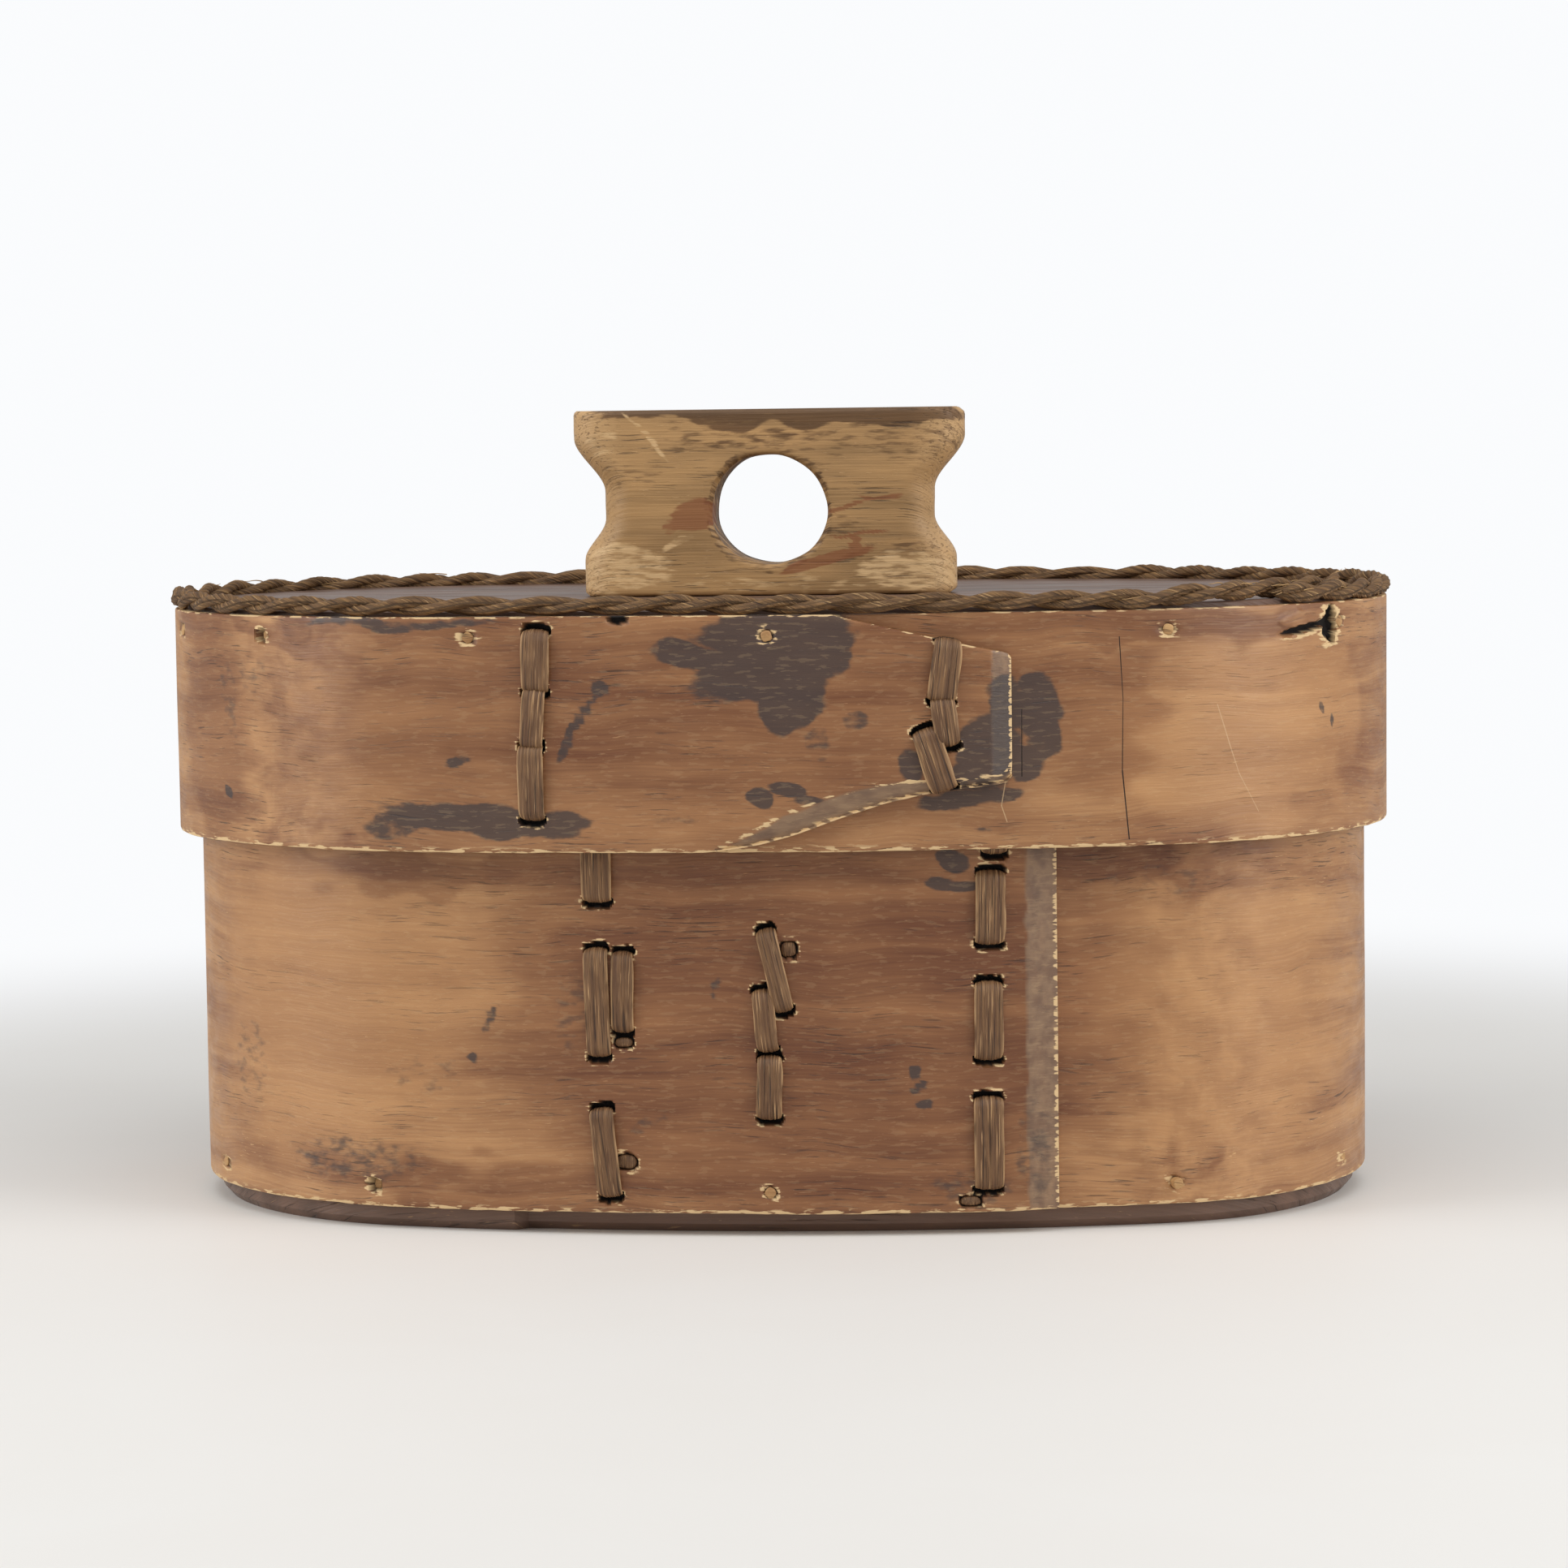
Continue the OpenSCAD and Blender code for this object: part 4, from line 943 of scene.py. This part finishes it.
def make_pegs(size, name, material):
    """Whittled pegs: a rounded square section that tapers inwards, with a faceted face."""
    oval = Oval(size)
    t_over = (size.strip_t + size.layer_gap) / MM
    lid = name == "lid_pegs"
    pegs, z0 = (LID_PEGS, 168.8) if lid else (BASE_PEGS, 12.5)
    out_a = float(oval.front_angle(size.lid_lap_right / MM, t_over))
    skin = Skin()
    for k, a in enumerate(pegs):
        if lid:
            climb = SETTLE + float(oval.front_angle(size.lid_lap_left / MM, t_over))
            face = t_over * float(smooth((a + SETTLE) / climb)) if a < out_a else 0.0
        else:
            face = -size.overhang / MM
        sunk = 2.2 if a in SUNK_PEGS else 0.0
        t = np.linspace(0, 2 * np.pi, 17)[:-1][None, :] + 0.3 * k
        depth = np.array([14.0, 8.0, 1.0, 0.25, 0.0])[:, None] + sunk
        grow = np.array([0.7, 0.85, 0.96, 0.95, 0.72])[:, None]
        square = (np.abs(np.cos(t - k)) ** 3.4 + np.abs(np.sin(t - k)) ** 3.4) ** (-1 / 3.4)
        r = size.peg_r / MM * 0.92 * grow * square * (1 + 0.05 * ripple(t * 2, k, 81))
        cut = 0.12 * np.cos(t + k) * (depth < sunk + 0.5)
        across, up = r * np.cos(t), r * np.sin(t)
        ang = a + np.degrees(across / (oval.side_r if abs(math.sin(math.radians(a))) < 0.2
                                       else oval.end_r))
        x, y = oval.point(ang, face - depth + cut)
        skin.add(np.stack([x, y, z0 + up + 0 * x], -1))
    body = "lid" if lid else "box"
    return skin.piece("whittled_" + name, material, body, "peg_wood", [name], 30)


def cord_path(size, oval, n):
    """Middle line of the cord: along the strip's upper edge once round, over the lap, up
    onto the board and inwards beside its own start."""
    d = size.cord_d / MM
    a = np.linspace(42.0, 426.0, n)
    t_gap = (size.strip_t + size.layer_gap) / MM
    in_a = float(oval.front_angle(size.lid_lap_left / MM, t_gap))
    out_a = float(oval.front_angle(size.lid_lap_right / MM, t_gap))
    lap = t_gap * smooth((a - 360 + SETTLE) / (SETTLE + in_a)) * (1 - smooth((a - 360) / 12))
    cross = smooth((a - 386) / 14)
    off = -1.5 + lap / 2 - (d + 0.2) * cross
    z = size.lid_top / MM + d / 2 * 0.93 + 0.2
    z = z + (size.board_high - size.lid_top) / MM * smooth((a - 377) / 9)
    u = oval.along(a)
    off = off + 0.35 * ripple(u / 26, 0.5, 91)
    z = z + 0.3 * ripple(u / 21, 3.5, 92) + 0.9 * smooth((a - 420) / 6)
    x, y = oval.point(a, off)
    return np.stack([x, y, z], -1), u, a


def make_cord(size, material):
    """Two plies round a common middle line, each of them a bundle of fibres twisted the
    other way, with frayed ends and stray fibres."""
    oval = Oval(size)
    path, u, _ = cord_path(size, oval, 900)
    tangent = np.gradient(path, axis=0)
    tangent /= np.linalg.norm(tangent, axis=1)[:, None]
    out = np.cross(tangent, (0.0, 0.0, 1.0))
    out /= np.linalg.norm(out, axis=1)[:, None]
    up = np.cross(out, tangent)
    far = u - u[0]
    phase = 2 * np.pi * far / (size.cord_lay / MM) + 0.7 * ripple(far / 50, 0.5, 93)
    ends = smooth(far / 5) * smooth((far[-1] - far) / 5)
    skin = Skin()
    for k in (0, 1):
        r_ply = 1.5 * (1 + 0.13 * ripple(far / 17, k + 0.5, 94)) * (0.35 + 0.65 * ends)
        r_mid = 1.3 * (1 + 0.12 * ripple(far / 23, k + 4.5, 95))
        turn = phase + np.pi * k
        middle = path + (np.cos(turn) * r_mid)[:, None] * out + (np.sin(turn) * r_mid)[:, None] * up
        t = np.linspace(0, 2 * np.pi, 19)[:-1][None, :]
        twist = (2.2 * phase)[:, None]
        rope = 1 + 0.09 * np.cos(5 * (t + twist)) + 0.07 * ripple(
            (t + twist) * 2.2, far[:, None] / 9 + 31 * k, 96)
        r = r_ply[:, None] * rope
        x = middle[:, None, :] + r[..., None] * (
            np.cos(t)[..., None] * out[:, None, :] + np.sin(t)[..., None] * up[:, None, :])
        lean = (t + twist) * 1.5
        fibre = np.stack(np.broadcast_arrays(far[:, None] + 400 * k, lean, 5.0 * k + 0 * r), -1)
        # Painted shade in the crevices between the fibre bundles of each ply
        crevice_shade = smooth((1.02 - rope) / 0.12) * 0.45
        skin.add(x, fibre=fibre, across=np.stack([0 * r, crevice_shade, 0 * r], -1))
    rng = np.random.default_rng(97)
    picks = np.concatenate([rng.integers(5, 890, 46), [2, 3, 5, 6, 893, 894, 896, 897]])
    for k, i in enumerate(picks):
        grow = np.linspace(0, 1, 7)[:, None]
        reach = rng.uniform(5, 11) * (1 if i < 450 else -1 if i > 890 else rng.choice([-1, 1]))
        if i < 10:
            reach = -abs(reach) * 0.7
        if i > 890:
            reach = abs(reach) * 0.7
        swing = rng.uniform(0, 2 * np.pi)
        away = out[i] * 0.5 * math.cos(swing) + up[i] * abs(math.sin(swing))
        start = path[i] + away * 2.2
        line = start + tangent[i] * grow * reach + away * (grow**2) * rng.uniform(0.3, 1.2)
        line = line + up[i] * np.sin(grow * 5) * 0.3
        t = np.linspace(0, 2 * np.pi, 6)[:-1][None, :, None]
        r = (0.2 * (1 - 0.6 * grow))[..., None]
        tube = line[:, None, :] + r * (np.cos(t) * out[i] + np.sin(t) * up[i])
        flat = np.zeros(tube.shape[:2])
        skin.add(tube, fibre=np.stack([flat + 9 * k, flat, flat], -1),
                 across=np.stack([flat + 0.6, flat, flat], -1))
    return skin.piece("twisted_cord", material, "lid", "twisted_cord", ["rim_cord"], 60)


def handle_half(h):
    """Half length at a height: full at the foot, drawn in at the waist, widest at the top."""
    foot = 55.4 - 6.4 * smooth((h - 10.5) / 12.5)
    return np.where(h < 31, foot, 49 + 9.2 * smooth((h - 31) / 16))


def make_handle(size, material):
    """The handle as a closed ring of sections round the finger hole. Each section runs from
    the hole's wall over the front face to the outline, across it and back behind."""
    base, tall, thick = size.board_high / MM, size.handle_h / MM, size.handle_t / MM
    x0, hx, hz = -1.8, -1.2, 25.4
    h = np.linspace(0, tall, 90)
    left, right = x0 - handle_half(h), x0 + handle_half(h)
    for side, sign in ((left, 1), (right, -1)):
        side += sign * 2.0 * smooth((1.8 - h) / 1.8) ** 1.5
        side += sign * (2.2 if sign < 0 else 0.8) * smooth((h - tall + 2.4) / 2.4) ** 2
        side += 0.22 * ripple(h / 5, sign + 2.5, 101)
    top = np.linspace(right[-1], left[-1], 70)[1:-1]
    foot = np.linspace(left[0], right[0], 70)[1:-1]
    ox = np.concatenate([right, top, left[::-1], foot])
    oh = np.concatenate([h, np.full(68, tall), h[::-1], np.zeros(68)])
    step = np.concatenate([[0], np.cumsum(np.hypot(np.diff(ox), np.diff(oh)))])
    at = np.linspace(0, step[-1], 341)[:-1]
    ox, oh = np.interp(at, step, ox), np.interp(at, step, oh)
    angle = np.arctan2(oh - hz, ox - hx)
    rx, rz = 17.1 + 0.3 * np.cos(3 * angle + 1), 16.5 + 0.35 * np.cos(2 * angle + 0.6)
    facet = 0.06 * np.cos(angle * 9 + 0.5)
    ix, ih = hx + (rx + facet) * np.cos(angle), hz + (rz + facet) * np.sin(angle)

    def half_t(x, hh):
        side = handle_half(hh) - np.abs(x - x0)
        plan = 9.5 - np.sqrt(np.clip(9.5**2 - (9.5 - np.clip(side, 0, 9.5)) ** 2, 0, None))
        rim = np.clip(np.minimum(hh, tall - hh), 0, 1.6)
        rim = 1.6 - np.sqrt(np.clip(1.6**2 - (1.6 - rim) ** 2, 0, None))
        return np.maximum(thick / 2 - plan - rim, 0.8)

    w = np.linspace(0, 1, 34)[:, None]
    w = w + 0.12 * np.sin(np.pi * w) * w
    cut = np.array([0.0, 0.55, 1.15, 1.8])[:, None]
    fx = ix + (ox - ix) * w
    fh = ih + (oh - ih) * w
    yy = half_t(fx, fh) + 0.1 * ripple(fx / 11, fh / 6, 103) - 0.05
    # The hole's edge is worn round
    span = np.hypot(fx - ix, fh - ih)
    yy = yy - 1.5 * (1 - np.sqrt(np.clip(1 - (1 - np.clip(span / 1.7, 0, 1)) ** 2, 0, 1)))
    wall = np.linspace(0, 1, 7)[:-1][:, None]
    bore_y = wall * (yy[0] - 0.2)
    bulge = 1 - 0.012 * np.cos(np.pi * wall)
    bx, bh = hx + (ix - hx) * bulge + 0 * wall, hz + (ih - hz) * bulge + 0 * wall
    across = np.linspace(1, 0, 5)[1:][:, None]
    ax, ah, ay = ox + 0 * across, oh + 0 * across, across * yy[-1]
    half_x, half_h = np.vstack([bx, fx, ax]), np.vstack([bh, fh, ah])
    half_y = np.vstack([bore_y, yy, ay])
    x = np.vstack([half_x, half_x[::-1][1:-1]])
    hh = np.vstack([half_h, half_h[::-1][1:-1]])
    y = np.vstack([-half_y, half_y[::-1][1:-1]])
    points = np.stack([x, y, hh + base], -1)
    front = y < 0
    dark = np.maximum(spots(x, hh, (((4, 53.5), (62, 4), -1, 0.9), ((30, 44), (40, 6), 2, 0.35),
                                    ((-2, 46.5), (18, 2.2), 3, 0.5), ((-20, 47), (16, 4), 0, 0.35),
                                    ((22, 20), (10, 2), 0, 0.35), ((-40, 36), (10, 6), 0, 0.3),
                                    ((36, 13), (16, 2.2), 8, 0.4)), 105, 2.5),
                      0.5 * (np.hypot(x - hx, hh - hz) < 19) * smooth((span.min() + 2) / 2))
    red = spots(x, hh, (((-23.5, 23.5), (7.5, 5.5), 8, 0.95), ((-31, 20.5), (3, 4), 0, 0.6),
                        ((16, 10.0), (15, 1.7), 14, 0.95), ((24, 14.5), (3, 2.0), 40, 0.8),
                        ((22, 26.0), (11, 0.7), 16, 0.7), ((31, 28.6), (8, 0.7), -4, 0.7),
                        ((25, 17.5), (9, 0.8), 2, 0.7)), 107, 1.2) * front
    pale = spots(x, hh, (((-45, 9), (14, 8), 0, 0.6), ((40, 6), (16, 6), 0, 0.6),
                         ((-27, 16), (6, 1.5), 30, 0.6), ((0, 3), (50, 3), 0, 0.3),
                         ((-38, 48), (9, 1.0), -45, 0.5), ((-52, 46), (5, 6), 0, 0.4)), 109, 2.0)
    skin = Skin()
    skin.add(points, wrap=(True, True), caps=False, marks=np.stack([dark, red, pale], -1))
    return skin.piece("carved_handle", material, "lid", "handle_wood", ["handle"], 45)


class BentwoodStep:
    """What the operators share: sizes, colours and how they show."""

    bl_options = {"REGISTER", "UNDO"}

    def execute(self, context):
        self.build(context.scene.bentwood_sizes, context.scene.bentwood_colours)
        return {"FINISHED"}


def line_list(oval, rows):
    """Lines as (start, end, width) with the starts and ends moved to lengths round the
    strip: a row is x, z, x, z, offset of the face, whether on the outer layer, width."""
    made = []
    for x0, z0, x1, z1, outer, width in rows:
        shift = oval.round if outer else 0.0
        made.append(((x0 + shift, z0), (x1 + shift, z1), 0.6 * width))
    return made


class BENTWOOD_OT_strips(BentwoodStep, Operator):
    """Builds the bent strips of the box and of the lid"""

    bl_idname = "bentwood.strips"
    bl_label = "Bent strips"

    def build(self, size, colours):
        oval = Oval(size)
        cracks = line_list(oval, [
            (86.8, 76.4, 106.6, 77.2, False, 0.28), (88.6, 60, 88.9, 9, False, 0.22),
            (-144, 55, -139, 24, True, 0.25), (64, 103.5, 78, 104, True, 0.2),
            (70, 91.5, 77, 91.8, True, 0.15)])
        scratches = line_list(oval, [
            (-24.9, 34.2, -30.2, 25.6, True, 0.3), (92, 107, 93.4, 82, False, 0.4),
            (93.4, 82, 93.2, 59, False, 0.35), (93.2, 59, 91.2, 25, False, 0.3),
            (-75.8, 64.5, -80, 58, True, 0.35), (13.8, 19.4, 2, 29, True, 0.3),
            (26, 90, 21, 82, True, 0.25)])
        body = strip_birch("Waxed birch strip, box", colours, cracks, scratches)
        make_body_band(size, body)
        cracks = line_list(oval, [
            (103.3, 167, 104.2, 150, False, 0.3), (104.2, 150, 103.9, 130, False, 0.28),
            (103.9, 130, 105.7, 111, False, 0.4), (56.8, 139.5, 67.9, 139.6, True, 0.3),
            (75.9, 147.5, 75.8, 129, False, 0.28)])
        scratches = line_list(oval, [
            (132, 147.5, 136, 136, False, 0.4), (136, 136, 139, 128, False, 0.35),
            (139, 128, 145.6, 117, False, 0.4), (71.3, 127.7, 70.1, 121, False, 0.35),
            (70.1, 121, 71.6, 116.5, False, 0.35)])
        lid = strip_birch("Waxed birch strip, lid", colours, cracks, scratches)
        make_lid_band(size, lid)


class BENTWOOD_OT_boards(BentwoodStep, Operator):
    """Builds the base board and the lid board"""

    bl_idname = "bentwood.boards"
    bl_label = "Boards"

    def build(self, size, colours):
        oval = Oval(size)
        board = plain_wood("Weathered pine board", mixed_colour(colours.board, 1.25),
                           mixed_colour(colours.board, 0.62), (0.6, 0.8, 0.8), (0.34, 0.52))
        t = size.strip_t / MM
        skin = Skin()
        skin.add(oval_board(oval, -t - 0.12, size.board_low / MM, size.board_high / MM, 0.6, 111),
                 caps=False)
        top = skin.piece("lid_panel", board, "lid", "board_wood", ["lid_board"], 30)
        merge_middle(top)
        skin = Skin()
        low = -size.overhang / MM - t - 0.12
        skin.add(base_panel(oval, low, size, 115), caps=False)
        base = skin.piece("base_panel", board, "box", "board_wood", ["base_board"], 30)
        merge_middle(base)


def mixed_colour(colour, k):
    return (*(min(1.0, c * k) for c in colour[:3]), 1.0)


def base_panel(oval, off, size, seed):
    """The base board follows the inside of its strip, which steps in under the lap."""
    t, gap = size.strip_t / MM, size.layer_gap / MM
    out_a = float(oval.front_angle(size.body_lap_right / MM, -size.overhang / MM))
    in_a = float(oval.front_angle(size.body_lap_left / MM, -size.overhang / MM))
    grid = oval_board(oval, 0.0, 0.0, size.base_t / MM, 2.4, seed)
    # Pull each column in by what the strip's inner face asks for at its angle
    a = np.concatenate([np.linspace(-oval.join, oval.join, 60)[:-1],
                        np.linspace(oval.join, 180 - oval.join, 70)[:-1]])
    a = np.concatenate([a, a + 180])
    turn = np.where(a > 180, a - 360, a)
    step = (t + gap) * (1 - smooth((turn - out_a) / (SETTLE - out_a)))
    inner = np.where((turn > in_a) & (turn < 60), step, 0.0)
    pull = off - inner
    x1, y1 = oval.point(a, 0.0)
    x0 = np.clip(x1, -oval.end_x, oval.end_x)
    reach = np.hypot(x1 - x0, y1)
    k = 1 + pull / reach
    grid[..., 0] = x0 + (grid[..., 0] - x0) * k
    grid[..., 1] = grid[..., 1] * k
    return grid


class BENTWOOD_OT_roots(BentwoodStep, Operator):
    """Builds the sewn roots of both laps"""

    bl_idname = "bentwood.roots"
    bl_label = "Root stitches"

    def build(self, size, colours):
        fibre = root_fibre("Split spruce root", colours.root, linear("5A3D28"),
                           linear("C9A173"))
        for name in ROOTS:
            make_root(size, name, fibre)


class BENTWOOD_OT_pegs(BentwoodStep, Operator):
    """Builds the whittled pegs and finishes the hidden dowels"""

    bl_idname = "bentwood.pegs"
    bl_label = "Pegs"

    def build(self, size, colours):
        peg = plain_wood("Whittled birch peg", linear("C9A06C"), linear("93683F"),
                         (1.5, 1.5, 1.5), (0.5, 0.7))
        make_pegs(size, "base_pegs", peg)
        make_pegs(size, "lid_pegs", peg)
        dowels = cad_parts["handle_dowels"]
        dowels.data.materials.clear()
        dowels.data.materials.append(peg)


class BENTWOOD_OT_cord(BentwoodStep, Operator):
    """Builds the twisted cord round the lid"""

    bl_idname = "bentwood.cord"
    bl_label = "Rim cord"

    def build(self, size, colours):
        make_cord(size, root_fibre("Twisted root cord", colours.cord, linear("5B4029"),
                                   linear("D5AE78"), ply=True))


class BENTWOOD_OT_handle(BentwoodStep, Operator):
    """Builds the carved handle"""

    bl_idname = "bentwood.handle"
    bl_label = "Carved handle"

    def build(self, size, colours):
        wood = plain_wood("Handled alder", mixed_colour(colours.handle, 1.12),
                          mixed_colour(colours.handle, 0.5), (1, 1, 1), (0.45, 0.62), True,
                          (-1.8, 40, 55))
        make_handle(size, wood)


class BENTWOOD_OT_stage(BentwoodStep, Operator):
    """Sets up the table, the lamps, the surroundings and the camera"""

    bl_idname = "bentwood.stage"
    bl_label = "Studio"

    def build(self, size, colours):
        scene = bpy.context.scene
        scene.view_settings.view_transform = "Standard"
        mesh = bpy.data.meshes.new("studio_table")
        half = 6.0
        mesh.from_pydata([(-half, -half, 0), (half, -half, 0), (half, half, 0), (-half, half, 0)],
                         [], [(0, 1, 2, 3)])
        table = bpy.data.objects.new("studio_table", mesh)
        scene.collection.objects.link(table)
        mesh.materials.append(table_finish(colours))
        self.lamps(scene)
        self.surroundings(scene)
        self.camera(scene)

    def lamps(self, scene):
        """Two tall soft boxes beside the box and a wide one above."""
        rows = [("left_softbox", -66, 24, 1.35, (0.7, 1.1), 9.0),
                ("right_softbox", 68, 24, 1.35, (0.7, 1.1), 9.0),
                ("top_softbox", 8, 68, 1.5, (1.5, 1.0), 9.0)]
        for name, azimuth, elevation, far, shape, power in rows:
            lamp = bpy.data.lights.new(name, "AREA")
            lamp.shape, lamp.size, lamp.size_y = "RECTANGLE", *shape
            lamp.energy = power
            a, e = math.radians(azimuth), math.radians(elevation)
            aim = Vector((0, 0, 0.09))
            back = Vector((math.sin(a) * math.cos(e), -math.cos(a) * math.cos(e), math.sin(e)))
            held = bpy.data.objects.new(name, lamp)
            held.location = aim + back * far
            held.rotation_mode = "QUATERNION"
            held.rotation_quaternion = (-back).to_track_quat("-Z", "Y")
            scene.collection.objects.link(held)

    def surroundings(self, scene):
        """White for the camera and in gloss, dimmer as light on the object."""
        world = bpy.data.worlds.new("White studio")
        scene.world = world
        world.use_nodes = True
        tree = world.node_tree
        back = tree.nodes["Background"]
        seen = add(tree, "ShaderNodeLightPath", out=0).node.outputs
        either = add(tree, "ShaderNodeMath", {0: seen[0], 1: seen[6]}, operation="MAXIMUM")
        strength = add(tree, "ShaderNodeMapRange", {0: either, 3: 0.36, 4: 0.985})
        glossy = add(tree, "ShaderNodeMath", {0: seen[3], 1: 0.25, 2: strength},
                     operation="MULTIPLY_ADD")
        back.inputs["Color"].default_value = (0.975, 0.985, 1.0, 1)
        tree.links.new(glossy, back.inputs["Strength"])

    def camera(self, scene):
        """Camera at the measured place: 1350 mm off, 231 mm up, turned about the box."""
        far, side, up = 1350.0, 1.2, 230.8
        pitch, yaw, roll = 0.0826, 0.085, -0.0134
        turn = Matrix.Rotation(yaw, 3, "Z")
        right = Vector((1, 0, 0))
        ahead = Vector((0, math.cos(pitch), -math.sin(pitch)))
        top = Vector((0, math.sin(pitch), math.cos(pitch)))
        x = turn @ (right * math.cos(roll) + top * math.sin(roll))
        y = turn @ (top * math.cos(roll) - right * math.sin(roll))
        z = -(turn @ ahead)
        lens = bpy.data.cameras.new("box_camera")
        lens.sensor_width, lens.lens = 36, 36 * 5579 / 1932
        lens.clip_start, lens.clip_end = 0.05, 50
        held = bpy.data.objects.new("box_camera", lens)
        place = turn @ Vector((side, -far, up)) * MM
        held.matrix_world = Matrix((
            (x.x, y.x, z.x, place.x), (x.y, y.y, z.y, place.y), (x.z, y.z, z.z, place.z),
            (0, 0, 0, 1)))
        scene.collection.objects.link(held)
        scene.camera = held


def table_finish(colours):
    """Pale stone table: matt near the box, with faint veins, and white far behind it."""
    material, tree, shader = finish_named("Pale stone table")
    place = add(tree, "ShaderNodeTexCoord", out=3)
    vein = add(tree, "ShaderNodeTexNoise",
               {"Vector": place, "Scale": 7.0, "Detail": 5.0, "Distortion": 1.2})
    vein = add(tree, "ShaderNodeMapRange", {0: vein, 1: 0.35, 2: 0.65, 3: 0.0, 4: 0.05})
    colour = mixed(tree, vein, colours.floor, linear("D8CDBF"))
    tree.links.new(colour, shader.inputs["Base Color"])
    shader.inputs["Roughness"].default_value = 0.55
    shader.inputs["Specular IOR Level"].default_value = 0.2
    bright = add(tree, "ShaderNodeEmission",
                 {"Color": (0.975, 0.985, 1.0, 1), "Strength": 0.985})
    far = add(tree, "ShaderNodeVectorMath", {0: place}, out=1, operation="LENGTH")
    far = add(tree, "ShaderNodeMapRange", {0: far, 1: 0.28, 2: 0.75},
              interpolation_type="SMOOTHERSTEP")
    side = add(tree, "ShaderNodeSeparateXYZ", {0: place}, out=1)
    behind = add(tree, "ShaderNodeMapRange", {0: side, 1: -0.55, 2: 0.05},
                 interpolation_type="SMOOTHERSTEP")
    seen = add(tree, "ShaderNodeLightPath", out=0)
    share = times(tree, times(tree, far, behind), seen)
    both = add(tree, "ShaderNodeMixShader", {0: share, 1: shader.outputs[0], 2: bright})
    tree.links.new(both, tree.nodes["Material Output"].inputs["Surface"])
    return material


STEPS = (BENTWOOD_OT_strips, BENTWOOD_OT_boards, BENTWOOD_OT_roots, BENTWOOD_OT_pegs,
         BENTWOOD_OT_cord, BENTWOOD_OT_handle, BENTWOOD_OT_stage)


class BENTWOOD_PT_box(Panel):
    """Sizes, colours and building steps of the bentwood box"""

    bl_label = "Bentwood box"
    bl_idname = "BENTWOOD_PT_box"
    bl_space_type = "VIEW_3D"
    bl_region_type = "UI"
    bl_category = "Bentwood box"

    def draw(self, context):
        for group in (context.scene.bentwood_sizes, context.scene.bentwood_colours):
            for name in group.__annotations__:
                self.layout.prop(group, name)
        for step in STEPS:
            self.layout.operator(step.bl_idname)


CLASSES = (BentwoodSizes, BentwoodColours, *STEPS, BENTWOOD_PT_box)


def register():
    for c in CLASSES:
        bpy.utils.register_class(c)
    bpy.types.Scene.bentwood_sizes = PointerProperty(type=BentwoodSizes)
    bpy.types.Scene.bentwood_colours = PointerProperty(type=BentwoodColours)


def unregister():
    del bpy.types.Scene.bentwood_colours
    del bpy.types.Scene.bentwood_sizes
    for c in reversed(CLASSES):
        bpy.utils.unregister_class(c)


def main():
    register()
    bpy.ops.bentwood.strips()
    bpy.ops.bentwood.boards()
    bpy.ops.bentwood.roots()
    bpy.ops.bentwood.pegs()
    bpy.ops.bentwood.cord()
    bpy.ops.bentwood.handle()
    bpy.ops.bentwood.stage()


if __name__ == "__main__":
    main()
